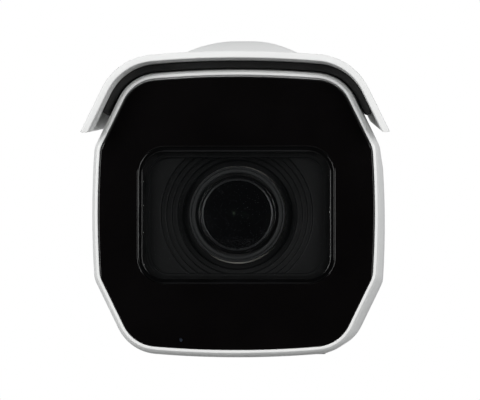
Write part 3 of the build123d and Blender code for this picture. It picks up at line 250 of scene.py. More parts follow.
def cut(piece, cutters):
    """Take the cutters' shapes out of a piece, and delete them."""
    for cutter in cutters:
        step = piece.modifiers.new("cut", "BOOLEAN")
        step.object = cutter
        step.operation = "DIFFERENCE"
        step.solver = "EXACT"
    bpy.context.view_layer.update()
    result = bpy.data.meshes.new_from_object(piece.evaluated_get(bpy.context.evaluated_depsgraph_get()))
    piece.modifiers.clear()
    piece.data = result
    for cutter in cutters:
        bpy.data.objects.remove(cutter)


def finish_piece(piece, body, material, slot, *nodes):
    """Material and smooth shading for a piece that stands for CAD nodes, which it hides, and its place
    under its body's empty.
    """
    shade(piece)
    piece.data.materials.clear()
    piece.data.materials.append(material)
    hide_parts(*nodes)
    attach(piece, body)
    return piece


def softened(node, radius, body, material, slot, segments=2, angle=40):
    """A welded copy of a CAD node with its edges rounded, for cast and moulded pieces."""
    source = frame["nodes"][node]
    piece = bpy.data.objects.new(node + "_finished", source.data.copy())
    bpy.context.scene.collection.objects.link(piece)
    work = bmesh.new()
    work.from_mesh(piece.data)
    bmesh.ops.remove_doubles(work, verts=work.verts, dist=NODE_WELD)
    bmesh.ops.dissolve_limit(
        work, angle_limit=math.radians(FLAT_BEND), verts=work.verts, edges=work.edges
    )
    sharp = [
        edge for edge in work.edges
        if len(edge.link_faces) == 2 and edge.calc_face_angle(0) > math.radians(angle)
    ]
    bmesh.ops.bevel(
        work, geom=sharp, offset=radius * MM, segments=segments, profile=0.5,
        affect="EDGES", clamp_overlap=True,
    )
    work.to_mesh(piece.data)
    work.free()
    return finish_piece(piece, body, material, slot, node)


# ------------------------------------------------------------------ materials

def new_material(name):
    material = bpy.data.materials.new(name)
    material.use_nodes = True
    tree = material.node_tree
    shader = tree.nodes["Principled BSDF"]
    return material, tree, shader


def noise(tree, scale, detail=3.0, stretch=(1, 1, 1)):
    """Noise in object space, whose grain is about one over scale metres."""
    place = tree.nodes.new("ShaderNodeTexCoord")
    mapping = tree.nodes.new("ShaderNodeMapping")
    mapping.inputs["Scale"].default_value = stretch
    texture = tree.nodes.new("ShaderNodeTexNoise")
    texture.inputs["Scale"].default_value = scale
    texture.inputs["Detail"].default_value = detail
    tree.links.new(place.outputs["Object"], mapping.inputs["Vector"])
    tree.links.new(mapping.outputs["Vector"], texture.inputs["Vector"])
    return texture.outputs["Fac"]


def ramp(tree, value, low, high, colour_low, colour_high):
    """A smooth change between two colours as value goes from low to high."""
    node = tree.nodes.new("ShaderNodeValToRGB")
    node.color_ramp.elements[0].position = low
    node.color_ramp.elements[0].color = (*colour_low, 1)
    node.color_ramp.elements[1].position = high
    node.color_ramp.elements[1].color = (*colour_high, 1)
    tree.links.new(value, node.inputs["Fac"])
    return node.outputs["Color"]


def span(tree, value, low, high):
    """The value mapped from 0..1 to low..high."""
    node = tree.nodes.new("ShaderNodeMapRange")
    node.inputs["To Min"].default_value = low
    node.inputs["To Max"].default_value = high
    tree.links.new(value, node.inputs["Value"])
    return node.outputs["Result"]


def add_bump(tree, shader, height, strength, distance):
    bump = tree.nodes.new("ShaderNodeBump")
    bump.inputs["Strength"].default_value = strength
    bump.inputs["Distance"].default_value = distance * MM
    tree.links.new(height, bump.inputs["Height"])
    tree.links.new(bump.outputs["Normal"], shader.inputs["Normal"])


def edge_mask(tree, low=0.52, high=0.62):
    """White on worn convex edges, from the mesh's pointiness."""
    geometry = tree.nodes.new("ShaderNodeNewGeometry")
    return ramp(tree, geometry.outputs["Pointiness"], low, high, (0, 0, 0), (1, 1, 1))


def mix(tree, factor, first, second):
    node = tree.nodes.new("ShaderNodeMix")
    node.data_type = "RGBA"
    tree.links.new(factor, node.inputs["Factor"])
    for value, socket in ((first, node.inputs[6]), (second, node.inputs[7])):
        if isinstance(value, bpy.types.NodeSocket):
            tree.links.new(value, socket)
        else:
            socket.default_value = (*value, 1)
    return node.outputs[2]


def surface(name, colour, roughness, variation=0.06, grain=900, bump=0.15, depth=0.03,
            metallic=0.0, coat=0.0, stretch=(1, 1, 1), wear=None, specular=0.5):
    """A finish with fine grain, slow colour variation, uneven gloss and worn edges."""
    material, tree, shader = new_material(name)
    shader.inputs["Metallic"].default_value = metallic
    shader.inputs["Coat Weight"].default_value = coat
    shader.inputs["Coat Roughness"].default_value = 0.08
    shader.inputs["Specular IOR Level"].default_value = specular
    darker = [c * (1 - variation) for c in colour]
    lighter = [min(1.0, c * (1 + variation)) for c in colour]
    tone = ramp(tree, noise(tree, 35, 4.0), 0.3, 0.7, darker, lighter)
    if wear is not None:
        tone = mix(tree, edge_mask(tree), tone, wear)
    tree.links.new(tone, shader.inputs["Base Color"])
    fine = noise(tree, grain, 2.0, stretch)
    slow = noise(tree, 60, 2.0)
    gloss = tree.nodes.new("ShaderNodeMath")
    gloss.operation = "MULTIPLY"
    tree.links.new(span(tree, fine, 0.92, 1.08), gloss.inputs[0])
    tree.links.new(span(tree, slow, roughness * 0.85, roughness * 1.15), gloss.inputs[1])
    tree.links.new(gloss.outputs["Value"], shader.inputs["Roughness"])
    add_bump(tree, shader, fine, bump, depth)
    return material


def clear_glass(name, tint, alpha, roughness=0.02, coat=0.3):
    """A coated sheet of glass that shows what is behind it under a faint tint."""
    material, tree, shader = new_material(name)
    shader.inputs["Alpha"].default_value = alpha
    shader.inputs["Coat Weight"].default_value = coat
    shader.inputs["Coat Roughness"].default_value = 0.02
    paler = [min(1.0, c * 1.3) for c in tint]
    tree.links.new(ramp(tree, noise(tree, 20, 2.0), 0.35, 0.65, tint, paler), shader.inputs["Base Color"])
    tree.links.new(
        span(tree, noise(tree, 200, 2.0), roughness * 0.7, roughness * 1.5), shader.inputs["Roughness"]
    )
    return material


white_coat = surface("white_powder_coat", (0.80, 0.805, 0.80), 0.42, 0.02, 1400, 0.12, 0.03,
                     wear=(0.70, 0.70, 0.69))
black_panel_gloss = surface("black_acrylic", (0.0024, 0.0021, 0.0022), 0.05, 0.25, 500, 0.01, 0.005,
                            specular=0.35)
matt_black = surface("matt_black_plastic", (0.007, 0.007, 0.0073), 0.55, 0.15, 2200, 0.25, 0.02,
                     wear=(0.02, 0.02, 0.02), specular=0.35)
frame_black = surface("frame_black_plastic", (0.0014, 0.0014, 0.0015), 0.16, 0.15, 2200, 0.05, 0.01,
                      wear=(0.012, 0.012, 0.013), specular=0.3)
tray_black = surface("tray_matt_black", (0.0028, 0.0030, 0.0031), 0.5, 0.18, 2500, 0.2, 0.02,
                     specular=0.14)
dark_rubber = surface("dark_rubber", (0.0085, 0.0095, 0.010), 0.6, 0.12, 1800, 0.3, 0.03, specular=0.3)
seal_rubber = surface("black_seal_rubber", (0.0022, 0.0022, 0.0023), 0.5, 0.15, 1800, 0.2, 0.03,
                      specular=0.15)
foam_rubber = surface("foam_rubber", (0.012, 0.012, 0.012), 0.9, 0.3, 1500, 0.8, 0.12)
zinc = surface("zinc_steel", (0.55, 0.55, 0.54), 0.32, 0.08, 1600, 0.12, 0.01, metallic=1.0,
               stretch=(1, 8, 1), wear=(0.75, 0.75, 0.74))
anodised = surface("black_anodised", (0.035, 0.036, 0.038), 0.28, 0.1, 2500, 0.1, 0.01, metallic=0.6)
bare_aluminium = surface("plain_aluminium", (0.62, 0.62, 0.63), 0.38, 0.06, 900, 0.15, 0.01,
                         metallic=1.0, stretch=(6, 1, 1))
gear_nylon = surface("moulded_nylon", (0.72, 0.70, 0.64), 0.5, 0.06, 1200, 0.15, 0.02)
board_green = surface("green_solder_mask", (0.010, 0.085, 0.035), 0.35, 0.2, 400, 0.1, 0.02, coat=0.3)
chip_gloss = surface("chip_cover_glass", (0.02, 0.025, 0.035), 0.12, 0.15, 600, 0.02, 0.005, coat=0.5)
led_resin = surface("led_resin", (0.75, 0.72, 0.58), 0.15, 0.08, 700, 0.03, 0.005, coat=0.6)
reflector_chrome = surface("reflector_chrome", (0.85, 0.85, 0.86), 0.08, 0.04, 500, 0.03, 0.005,
                           metallic=1.0)
window_clear = clear_glass("window_glass_coated", (0.010, 0.011, 0.0115), 0.08)
lens_coated = clear_glass("front_glass_coated", (0.0012, 0.0012, 0.0016), 0.3, 0.08, 0.0)
pupil_coated = surface("pupil_coating", (0.013, 0.018, 0.012), 0.14, 0.3, 500, 0.001, 0.001,
                       metallic=1.0)

# Every CAD node takes the material of its slot.
SLOT_MATERIALS = {
    "white_metal": white_coat,
    "black_panel": black_panel_gloss,
    "black_plastic": matt_black,
    "window": window_clear,
    "lens_glass": lens_coated,
    "black_rubber": seal_rubber,
    "hood_rubber": dark_rubber,
    "steel": zinc,
    "retaining_ring": anodised,
    "chassis_metal": bare_aluminium,
    "gear_plastic": gear_nylon,
    "circuit_board": board_green,
    "chip": chip_gloss,
    "led": led_resin,
    "reflector": reflector_chrome,
}
for subpart in frame["record"]["subparts"]:
    node = frame["nodes"][subpart["node"]]
    node.data.materials.clear()
    node.data.materials.append(SLOT_MATERIALS[subpart["material_slot"]])
    shade(node, 28)


# ------------------------------------------------------------------ bezel, panel and window

# Rounded rectangles, as width, height and corner radius
BEZEL_OPENING = (64, 45, 9.1)
WINDOW_CUT = (63.2, 44, 8.7)
FRAME_SIZE = (63.1, 43.9, 8.65)
GLASS_SIZE = (59.9, 41.2, 7.15)
FRAME_BAR = 1.55
GLASS_MIDDLE = 12
BACK_CHAMFER = 0.3
PANEL_CHAMFER = 0.2
PANEL_FIT = 0.1
EDGE_BAND = 3
WINDOW_BAND = 1.5

LED_XS = (-22.5, -8.5, 8.5, 22.5)
LED_ROW_Z = 32.5
LED_POCKET = 5.2
CORNER_SCREW = 33
SCREW_HOLE = 1.7
SCREW_SEAT = 2.95
SEAT_DEPTH = 2.7
SENSOR_X = -17.7
SENSOR_Z = -40.8
SENSOR_SEAT = 2.1
SENSOR_HOLE = 0.6


def disc(name, x, z, radius, back, front, segments=48):
    """A plain round cutter along the camera."""
    return lathe(name, [(back, radius), (front, radius)], x, z, segments, wrap=False)


def grow_rings(profile, shoulder=SHOULDER_ROUND, height=0.0):
    """Rings of the body's outline for a profile of (grow, station) points."""
    return [section(body_outline(p.x, shoulder), p.y, height) for p in profile]


def rect_rings(size, profile, height=WINDOW_Z):
    """Rings of a rounded rectangle of (width, height, radius), for (inset, station) points."""
    width, tall, radius = size
    return [
        section(round_rect(width - 2 * p.x, tall - 2 * p.x, radius - p.x), p.y, height)
        for p in profile
    ]


def make_front_bezel():
    outside = rounded([
        (HOUSING_GROW - BACK_CHAMFER, BEZEL_BACK, 0),
        (HOUSING_GROW, BEZEL_BACK + BACK_CHAMFER, 0),
        (RIM_GROW, BEVEL_START, 0.8),
        (RIM_FACE_GROW, RIM, 0.45),
        (PANEL_FIT, RIM, 0.3),
        (PANEL_FIT, PANEL_BACK, 0),
    ], 0.3, 5, closed=False)
    inside = [Vector((0, PANEL_BACK)), Vector((0, BEZEL_BACK))]
    rings = grow_rings(outside) + rect_rings(BEZEL_OPENING, inside)
    bezel = loft("bezel_rim", rings)
    low, seat, high = BEZEL_BACK - OVERSHOOT, PANEL_BACK - SEAT_DEPTH, PANEL_BACK + OVERSHOOT
    cutters = [
        disc("led_pocket", x, z, LED_POCKET, low, high)
        for x in LED_XS for z in (-LED_ROW_Z, LED_ROW_Z)
    ]
    for x in (-CORNER_SCREW, CORNER_SCREW):
        for z in (-CORNER_SCREW, CORNER_SCREW):
            cutters.append(disc("screw_hole", x, z, SCREW_HOLE, low, high, 32))
            cutters.append(disc("screw_seat", x, z, SCREW_SEAT, seat, high, 32))
    cutters.append(disc("sensor_seat", SENSOR_X, SENSOR_Z, SENSOR_SEAT, seat, high, 32))
    cut(bezel, cutters)
    finish_piece(bezel, "camera", white_coat, "white_metal", "front_bezel")


def make_front_panel():
    outside = rounded([
        (-PANEL_CHAMFER, PANEL_BACK, 0),
        (0, PANEL_BACK + PANEL_CHAMFER, 0),
        (0, PANEL_FRONT, 0.45),
        (-EDGE_BAND, PANEL_FRONT, 0),
    ], 0.3, 6, closed=False)
    window = rounded([
        (-WINDOW_BAND, PANEL_FRONT, 0),
        (0, PANEL_FRONT, 0.2),
        (0, PANEL_BACK, 0),
    ], 0.2, 4, closed=False)
    rings = grow_rings(outside, PANEL_SHOULDER_ROUND, PANEL_Z) + rect_rings(WINDOW_CUT, window)
    panel = loft("front_panel_black", rings)
    low, high = PANEL_BACK - OVERSHOOT, PANEL_FRONT + OVERSHOOT
    hole = disc("sensor_window", SENSOR_X, SENSOR_Z, SENSOR_HOLE, low, high, 32)
    cut(panel, [hole])
    finish_piece(panel, "camera", black_panel_gloss, "black_panel", "front_panel")


def make_window_frame():
    profile = rounded([
        (0, FRAME_BACK, 0.1),
        (0, FRAME_FRONT, 0.35),
        (FRAME_BAR, FRAME_FRONT, 0.35),
        (FRAME_BAR, FRAME_BACK, 0.1),
    ], 0.2, 5)
    frame_piece = loft("window_frame_black", rect_rings(FRAME_SIZE, profile))
    finish_piece(frame_piece, "camera", frame_black, "black_plastic", "window_frame")


def make_window_glass():
    profile = rounded([
        (GLASS_MIDDLE, GLASS_FRONT, 0),
        (0, GLASS_FRONT, 0.2),
        (0, FRAME_BACK, 0.2),
        (GLASS_MIDDLE, FRAME_BACK, 0),
    ], 0.2, 4, closed=False)
    width, tall, radius = GLASS_SIZE
    rings = [
        section(round_rect(width - 2 * p.x, tall - 2 * p.x, max(radius - p.x, 0.5)), p.y, WINDOW_Z)
        for p in profile
    ]
    glass = loft("window_pane", rings, wrap=False)
    finish_piece(glass, "camera", window_clear, "window", "window_glass")


# ------------------------------------------------------------------ stepped tray behind the window

TRAY_OPENING = (56, 37.2, 6.4)
TRAY_BLOCK = (62.4, 43.4, 8)
TRAY_FLANGE = (78, 49, 8)
TRAY_FLOOR = 274.0
TRAY_FLANGE_BACK = 268.8
TRAY_BACK = 266
TRAY_FUNNEL = 0.3
STEP_OUTER = 24.4
STEP_WIDTH = 1.7
STEP_DEPTH = 1.6
STEP_DRAFT = 0.12
STEP_COUNT = 5
TRAY_REACH = 40
LENS_HOLE = 15.8
TRAY_TURNS = 240


def rect_reach(angle, width, tall, radius, drop):
    """How far from the lens axis a rounded rectangle reaches in one direction."""
    away = Vector((math.sin(angle), math.cos(angle)))
    side = width / 2 / max(abs(away.x), 1e-9)
    end = (tall / 2 + math.copysign(1, away.y) * drop) / max(abs(away.y), 1e-9)
    reach = min(side, end)
    spot = away * reach - Vector((0, drop))
    if abs(spot.x) > width / 2 - radius and abs(spot.y) > tall / 2 - radius:
        centre = Vector((
            math.copysign(width / 2 - radius, away.x),
            math.copysign(tall / 2 - radius, away.y) + drop,
        ))
        along = away.dot(centre)
        reach = along + math.sqrt(max(0.0, along * along - centre.length_squared + radius * radius))
    return reach


def make_lens_baffle():
    """Rings in step towards the lens, cut off where they meet the tray's rounded wall."""
    stairs = [(TRAY_REACH, TRAY_FLOOR, 0)]
    for number in range(STEP_COUNT):
        radius = STEP_OUTER - number * STEP_WIDTH
        top = TRAY_FLOOR - number * STEP_DEPTH
        stairs.append((radius + STEP_DRAFT, top, 0.35))
        stairs.append((radius - STEP_DRAFT, top - STEP_DEPTH, 0.25))
    stairs += [(LENS_HOLE, TRAY_FLOOR - STEP_COUNT * STEP_DEPTH, 0)]
    line = rounded(stairs, 0.2, 3, closed=False)

    def station_at(radius):
        for outer, inner in zip(line, line[1:]):
            if inner.x <= radius <= outer.x:
                share = (outer.x - radius) / max(outer.x - inner.x, 1e-9)
                return outer.y + (inner.y - outer.y) * share
        return line[-1].y

    drop = WINDOW_Z - LENS_Z
    angles = [2 * math.pi * k / TRAY_TURNS for k in range(TRAY_TURNS)]
    wall = [rect_reach(a, *TRAY_OPENING, drop) for a in angles]

    def ring(reaches, station):
        return [
            (r * math.sin(a), -station, LENS_Z + r * math.cos(a)) for a, r in zip(angles, reaches)
        ]

    rings = []
    for p in reversed(line):
        reaches = [min(p.x, edge) for edge in wall]
        rings.append([
            (r * math.sin(a), -(p.y if p.x <= edge else station_at(edge)), LENS_Z + r * math.cos(a))
            for a, r, edge in zip(angles, reaches, wall)
        ])
    block = [rect_reach(a, *TRAY_BLOCK, drop) for a in angles]
    flange = [rect_reach(a, *TRAY_FLANGE, drop) for a in angles]
    hole = [LENS_HOLE] * TRAY_TURNS
    rings.append(ring(wall, SEAL_BACK - TRAY_FUNNEL))
    rings.append(ring([w + TRAY_FUNNEL for w in wall], SEAL_BACK))
    rings.append(ring(block, SEAL_BACK))
    rings.append(ring(block, BEZEL_BACK))
    rings.append(ring(flange, BEZEL_BACK))
    rings.append(ring(flange, TRAY_FLANGE_BACK))
    rings.append(ring(block, TRAY_FLANGE_BACK))
    rings.append(ring(block, TRAY_BACK))
    rings.append(ring(hole, TRAY_BACK - TRAY_FUNNEL))
    tray = loft("stepped_tray", rings)
    finish_piece(tray, "camera", tray_black, "black_plastic", "lens_baffle")


# ------------------------------------------------------------------ lens

HOOD_BACK = 268
HOOD_FRONT = 272
HOOD_INNER = 13.4
HOOD_OUTER = 15.4
GROOVE_INNER = 14.5
GROOVE_OUTER = 14.92
GROOVE_SLOPE = 0.12
GROOVE_DEPTH = 0.4
CELL_BACK = 252
CELL_FRONT = 271
CELL_RADIUS = 12.5
CELL_STEP = 266.5
INNER_SEAT = 261
ELEMENT_SEAT = 11.7
RETAINING_BACK = 269.3
RETAINING_INNER = 11.0
FRONT_CLEAR = 10.9
FRONT_CURVE = 55
FRONT_EDGE = 11.6
INNER_EDGE = 8.65
PUPIL_RADIUS = 3.6
PUPIL_CURVE = 6.2


def sphere_cap(apex, rim_radius, curve_radius, direction, steps=14):
    """Profile points of a lens surface from its apex out to its rim."""
    points = []
    for i in range(steps + 1):
        radius = rim_radius * i / steps
        sag = curve_radius - math.sqrt(curve_radius ** 2 - radius ** 2)
        points.append((apex + direction * sag, radius))
    return points


def make_lens():
    groove = HOOD_FRONT - GROOVE_DEPTH
    hood = rounded([
        (HOOD_BACK, HOOD_INNER, 0.2),
        (HOOD_FRONT, HOOD_INNER, 0.5),
        (HOOD_FRONT, GROOVE_INNER, 0.25),
        (groove, GROOVE_INNER + GROOVE_SLOPE, 0.1),
        (groove, GROOVE_OUTER - GROOVE_SLOPE, 0.1),
        (HOOD_FRONT, GROOVE_OUTER, 0.2),
        (HOOD_FRONT - 0.1, HOOD_OUTER, 0.35),
        (HOOD_BACK, HOOD_OUTER, 0.2),
    ], 0.2, 5)
    hood_ring = lathe("hood_ring_rubber", [(p.x, p.y) for p in hood])
    finish_piece(hood_ring, "camera", dark_rubber, "hood_rubber", "lens_hood_ring")

    bore, step = INNER_EDGE + 0.05, INNER_EDGE + 0.85
    cell = rounded([
        (CELL_BACK, CELL_RADIUS, 0.2),
        (CELL_BACK, bore, 0.2),
        (INNER_SEAT, bore, 0.1),
        (INNER_SEAT, step, 0.1),
        (CELL_STEP, step, 0.1),
        (CELL_STEP, ELEMENT_SEAT, 0.1),
        (CELL_FRONT, ELEMENT_SEAT, 0.15),
        (CELL_FRONT, CELL_RADIUS, 0.3),
    ], 0.2, 4)
    focus_cell = lathe("focus_cell_black", [(p.x, p.y) for p in cell])
    finish_piece(focus_cell, "focus_group", frame_black, "black_plastic", "focus_cell")

    ring = rounded([
        (RETAINING_BACK, RETAINING_INNER, 0.1),
        (RETAINING_BACK + 1.3, RETAINING_INNER, 0.12),
        (RETAINING_BACK + 1.4, RETAINING_INNER + 0.15, 0.1),
        (RETAINING_BACK + 1.1, ELEMENT_SEAT, 0.06),
        (RETAINING_BACK, ELEMENT_SEAT, 0.1),
    ], 0.1, 5)
    retaining = lathe("retaining_ring_anodised", [(p.x, p.y) for p in ring])
    finish_piece(retaining, "focus_group", anodised, "retaining_ring", "lens_retaining_ring")

    low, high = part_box("front_element")
    apex, back = -low.y / MM, -high.y / MM
    front = sphere_cap(apex, FRONT_CLEAR, FRONT_CURVE, -1)
    profile = front + [
        (front[-1][0] - 0.2, FRONT_EDGE),
        (back + 0.4, FRONT_EDGE),
        (back, FRONT_EDGE - 0.4),
        (back + 0.2, 8),
        (back + 0.9, 0),
    ]
    glass = lathe("front_glass", profile, wrap=False)
    finish_piece(glass, "focus_group", lens_coated, "lens_glass", "front_element")

    low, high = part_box("inner_element")
    front_edge, back_edge = -low.y / MM, -high.y / MM
    dome = sphere_cap(front_edge, PUPIL_RADIUS, PUPIL_CURVE, -1, 16)
    shelf = dome[-1][0]
    profile = dome + [
        (shelf - 0.2, PUPIL_RADIUS + 0.3),
        (shelf - 0.3, INNER_EDGE - 0.25),
        (shelf - 0.6, INNER_EDGE),
        (back_edge + 0.3, INNER_EDGE),
        (back_edge, INNER_EDGE - 0.35),
        (back_edge, 0),
    ]
    inner = lathe("inner_glass", profile, wrap=False)
    finish_piece(inner, "focus_group", pupil_coated, "lens_glass", "inner_element")


make_front_bezel()
make_front_panel()
make_window_frame()
make_window_glass()
make_lens_baffle()
make_lens()


# ------------------------------------------------------------------ sun shield

SHIELD_TIP_Z = 25.5
SHIELD_BACK_TIP_Z = 36
FOAM_TIP_Z = 32.8
FOAM_BACK = 262
FOAM_FRONT = 276
POD_HALF = 26
POD_FOOT_Z = 48.6
POD_CREST_Z = 58.9
POD_NOSE = (250, 216)
POD_TAIL = (146, 134)
RAIL_MIDDLE = 180
RAIL_TOP = 52
SLOT_FLOOR_Z = 54
SHIELD_SCREWS = (165, 195)
SLOT_LENGTH = 24.6
SLOT_WIDTH = 4.6
TROUGH_LENGTH = 62
TROUGH_WIDTH = 9.4
CHANNEL_HALF_WIDTH = 7.3
CHANNEL_HALF_LENGTH = 37.2
TROUGH_CUT = 10
SLIDING_GAP = 0.03
FOAM_GAP = 0.05
POD_BLEND = 2.4
ROW_STEP = 1.25
SECTION_POINTS = 170
TIP_STEPS = 6
EDGE_STEPS = 4
ROUND_STEPS = 16


def spread(points, count):
    """The same line with count points, evenly spaced along it."""
    lengths = [0.0]
    for a, b in zip(points, points[1:]):
        lengths.append(lengths[-1] + (b - a).length)
    line, spot = [], 0
    for i in range(count):
        goal = lengths[-1] * i / (count - 1)
        while spot < len(points) - 2 and lengths[spot + 1] < goal:
            spot += 1
        share = (goal - lengths[spot]) / max(lengths[spot + 1] - lengths[spot], 1e-9)
        line.append(points[spot].lerp(points[spot + 1], min(share, 1.0)))
    return line


def open_section(grow, tip_z, count):
    """The body's outline above tip_z, from the left tip over the top to the right tip."""
    points = body_outline(grow)
    pairs = list(zip(points, points[1:]))
    upper, lower = next((a, b) for a, b in pairs if a.y >= tip_z > b.y)
    tip = upper.lerp(lower, (upper.y - tip_z) / (upper.y - lower.y))
    half = len(points) // 2
    right = [p for p in points[:half] if p.y >= tip_z]
    left = [p for p in points[half:] if p.y >= tip_z]
    return spread([Vector((-tip.x, tip.y)), *left, *right, tip], count)


def pod_share(x, station):
    """How much of the slide pod's full rise there is at a place, below nought outside the pod."""
    gone = 0.0
    if station > POD_NOSE[1]:
        gone = (station - POD_NOSE[1]) / (POD_NOSE[0] - POD_NOSE[1])
    elif station < POD_TAIL[0]:
        gone = (POD_TAIL[0] - station) / (POD_TAIL[0] - POD_TAIL[1])
    return min(1 - (x / POD_HALF) ** 2, 1 - gone ** 2)


def raised(point, station):
    """A point of the shield's outer surface, with the pod blended onto it."""
    pod = POD_FOOT_Z + (POD_CREST_Z - POD_FOOT_Z) * pod_share(point.x, station)
    near = max(0.0, POD_BLEND - abs(pod - point.y)) / POD_BLEND
    height = max(point.y, pod) + near * near * POD_BLEND / 4
    return Vector((point.x, min(height, POD_CREST_Z)))


def tip_arc(start, end, drop):
    """The rounded edge between a shell's two faces."""
    return [
        start.lerp(end, 0.5 - 0.5 * math.cos(math.pi * i / TIP_STEPS))
        - Vector((0, drop * math.sin(math.pi * i / TIP_STEPS)))
        for i in range(1, TIP_STEPS)
    ]


def end_rows(back, front, edge):
    """Stations with insets: a rounded edge at each end and even rows between."""
    turns = [math.pi / 2 * i / EDGE_STEPS for i in range(EDGE_STEPS + 1)]
    first = [(back + edge * (1 - math.cos(t)), edge * (1 - math.sin(t))) for t in turns]
    last = [(front - edge * (1 - math.cos(t)), edge * (1 - math.sin(t))) for t in reversed(turns)]
    count = max(1, round((front - back - 2 * edge) / ROW_STEP))
    step = (front - back - 2 * edge) / count
    return first + [(back + edge + step * i, 0.0) for i in range(1, count)] + last


def bent_sheet(name, grows, tip_z, stations, edge, drop, outer_shape=None):
    """A shell that follows the body's outline over the top, with every edge rounded.

    tip_z(station) is the height of its lower edges.
    """
    half_wall = (grows[1] - grows[0]) / 2
    rings = []
    for station, inset in end_rows(*stations, edge):
        outer = open_section(grows[1], tip_z(station), SECTION_POINTS)
        inner = open_section(grows[0], tip_z(station), SECTION_POINTS)
        keep = 1 - inset / half_wall
        faces = [outer_shape(p, station) for p in outer] if outer_shape else outer
        middle = [(a + b) / 2 for a, b in zip(outer, inner)]
        top = [m.lerp(a, keep) for m, a in zip(middle, faces)]
        under = [m.lerp(b, keep) for m, b in zip(middle, inner)]
        loop = top + tip_arc(top[-1], under[-1], drop) + under[::-1] + tip_arc(under[0], top[0], drop)
        rings.append([(p.x, -station, p.y) for p in loop])
    return loft(name, rings, wrap=False)


def stadium(name, length, width, low, high, middle):
    """A lengthwise cutter with round ends, from one height to another."""
    straight = (length - width) / 2
    loop = []
    for side in (1, -1):
        for i in range(ROUND_STEPS + 1):
            turn = math.pi * i / ROUND_STEPS
            across = side * width / 2 * math.cos(turn)
            loop.append((across, -middle - side * (straight + width / 2 * math.sin(turn))))
    return loft(name, [[(x, y, z) for x, y in loop] for z in (low, high)], wrap=False)


def shield_tip(station):
    """Height of the shield's lower edges, which rise towards the back."""
    share = (station - SHIELD_BACK) / (SHIELD_FRONT - SHIELD_BACK)
    return SHIELD_BACK_TIP_Z + (SHIELD_TIP_Z - SHIELD_BACK_TIP_Z) * share


def make_sunshield():
    shell = bent_sheet(
        "sunshield_shell", (SHIELD_INNER, SHIELD_OUTER), shield_tip,
        (SHIELD_BACK, SHIELD_FRONT), edge=0.45, drop=0.35, outer_shape=raised,
    )
    slots = [
        stadium("slot", SLOT_LENGTH, SLOT_WIDTH, RAIL_TOP - OVERSHOOT, SLOT_FLOOR_Z + OVERSHOOT, screw)
        for screw in SHIELD_SCREWS
    ]
    floor_z = SLOT_FLOOR_Z - SLIDING_GAP
    trough = stadium("trough", TROUGH_LENGTH, TROUGH_WIDTH, floor_z, floor_z + TROUGH_CUT, RAIL_MIDDLE)
    near, far = -RAIL_MIDDLE - CHANNEL_HALF_LENGTH, -RAIL_MIDDLE + CHANNEL_HALF_LENGTH
    side = CHANNEL_HALF_WIDTH
    channel = loft("rail_channel", [
        [(-side, near, z), (side, near, z), (side, far, z), (-side, far, z)]
        for z in (PANEL_TOP, RAIL_TOP)
    ], wrap=False)
    cut(shell, [*slots, trough, channel])
    finish_piece(shell, "shield", white_coat, "white_metal", "sunshield")


def make_foam_strip():
    strip = bent_sheet(
        "foam_strip", (FOAM_INNER, SHIELD_INNER - FOAM_GAP), lambda station: FOAM_TIP_Z,
        (FOAM_BACK, FOAM_FRONT), edge=0.6, drop=0.9,
    )
    finish_piece(strip, "shield", foam_rubber, "black_rubber", "shield_foam_strip")


make_sunshield()
make_foam_strip()

# ------------------------------------------------------------------ castings and small parts

# Each CAD node with its body and the radius of its rounded edges
WHITE_CASTINGS = {
    "housing": ("camera", 0.4), "rear_cap": ("camera", 0.5), "roll_lock_ring": ("camera", 0.6),
    "service_cover": ("camera", 0.15), "wall_base": ("base", 0.8), "pan_swivel": ("swivel", 0.8),
    "tilt_arm": ("arm", 0.7),
}
for node, (body, radius) in WHITE_CASTINGS.items():
    softened(node, radius, body, white_coat, "white_metal")

ZINC_PARTS = {
    "tilt_bolt": ("swivel", 0.3), "tilt_nut": ("swivel", 0.35), "tilt_washers": ("swivel", 0.15),
    "corner_screws": ("camera", 0.2), "cover_screws": ("camera", 0.2), "shield_screws": ("camera", 0.3),
}
for node, (body, radius) in ZINC_PARTS.items():
    softened(node, radius, body, zinc, "steel")

BLACK_PARTS = {
    "cable_gland_body": ("camera", 0.3), "cable_gland_nut": ("camera", 0.3),
    "breather_vent": ("camera", 0.2),
}
for node, (body, radius) in BLACK_PARTS.items():
    softened(node, radius, body, matt_black, "black_plastic")


# ------------------------------------------------------------------ stage, light and camera

# The floor is in millimetres, and the lights and the camera are in metres.
rim_low, rim_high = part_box("front_bezel")
rim_centre = Vector(((rim_low.x + rim_high.x) / 2, rim_low.y, (rim_low.z + rim_high.z) / 2))

FLOOR_DROP = 1600
FLOOR_RADIUS = 6000
FLOOR_THICK = 20
FLOOR_SIDES = 64
turns = [2 * math.pi * k / FLOOR_SIDES for k in range(FLOOR_SIDES)]
floor_rings = [
    [(FLOOR_RADIUS * math.cos(turn), FLOOR_RADIUS * math.sin(turn), height) for turn in turns]
    for height in (-FLOOR_DROP - FLOOR_THICK, -FLOOR_DROP)
]
floor = loft("floor", floor_rings, wrap=False)
floor.data.materials.append(
    surface("pale_floor", (0.78, 0.78, 0.77), 0.8, 0.02, 60, 0.05, 0.2)
)


def softbox(name, place, size, power):
    """A soft rectangular light at an offset from the rim, turned to face it."""
    lamp = bpy.data.lights.new(name, "AREA")
    lamp.shape = "RECTANGLE"
    lamp.size, lamp.size_y = size
    lamp.energy = power
    holder = bpy.data.objects.new(name, lamp)
    bpy.context.scene.collection.objects.link(holder)
    holder.location = rim_centre + Vector(place)
    holder.rotation_mode = "QUATERNION"
    holder.rotation_quaternion = (rim_centre - holder.location).to_track_quat("-Z", "Y")


softbox("left_softbox", (-0.9, -1.0, 0.3), (0.5, 0.8), 14)
softbox("right_softbox", (0.9, -1.0, 0.3), (0.5, 0.8), 12.5)
softbox("top_softbox", (0.0, 0.3, 1.2), (1.2, 1.2), 4)

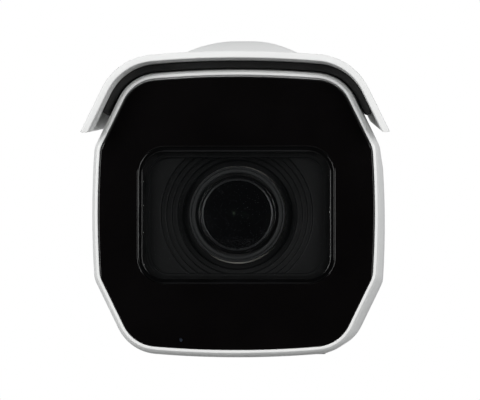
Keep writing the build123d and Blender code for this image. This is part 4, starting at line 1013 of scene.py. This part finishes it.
world = bpy.data.worlds.new("studio")
bpy.context.scene.world = world
world.use_nodes = True
tree = world.node_tree
backdrop = tree.nodes["Background"]
backdrop.inputs["Color"].default_value = (1, 1, 1, 1)
fill = tree.nodes.new("ShaderNodeBackground")
direction = tree.nodes.new("ShaderNodeTexCoord")
split = tree.nodes.new("ShaderNodeSeparateXYZ")
tree.links.new(direction.outputs["Generated"], split.inputs["Vector"])
# The backdrop lights the back half only, so the front panel has nothing to mirror.
DARK = (0.0, 0.0, 0.0)
BACK_LIGHT = (0.62, 0.63, 0.64)
fade = ramp(tree, span(tree, split.outputs["Y"], 0.5, 1.0), 0.56, 0.72, DARK, BACK_LIGHT)
tree.links.new(fade, fill.inputs["Color"])
rays = tree.nodes.new("ShaderNodeLightPath")
choose = tree.nodes.new("ShaderNodeMixShader")
tree.links.new(rays.outputs["Is Camera Ray"], choose.inputs["Fac"])
tree.links.new(fill.outputs["Background"], choose.inputs[1])
tree.links.new(backdrop.outputs["Background"], choose.inputs[2])
tree.links.new(choose.outputs["Shader"], tree.nodes["World Output"].inputs["Surface"])

AIM_OFFSET = Vector((1.26 * MM, 0, 3.97 * MM))
CAMERA_DISTANCE = 1.3
SENSOR_WIDTH = 36
CAMERA_AZIMUTH = math.radians(2.3)
CAMERA_ELEVATION = math.radians(-1.5)
VIEW_WIDTH = 0.1536
lens_data = bpy.data.cameras.new("view")
viewpoint = bpy.data.objects.new("view", lens_data)
bpy.context.scene.collection.objects.link(viewpoint)
back = Vector((
    math.sin(CAMERA_AZIMUTH) * math.cos(CAMERA_ELEVATION),
    -math.cos(CAMERA_AZIMUTH) * math.cos(CAMERA_ELEVATION),
    math.sin(CAMERA_ELEVATION),
))
aim = rim_centre + AIM_OFFSET
viewpoint.location = aim + back * CAMERA_DISTANCE
viewpoint.rotation_mode = "QUATERNION"
viewpoint.rotation_quaternion = (-back).to_track_quat("-Z", "Y")
lens_data.sensor_width = SENSOR_WIDTH
lens_data.lens = SENSOR_WIDTH * CAMERA_DISTANCE / VIEW_WIDTH
lens_data.clip_start = 0.05
lens_data.clip_end = 50
bpy.context.scene.camera = viewpoint
bpy.context.scene.view_settings.view_transform = "Standard"
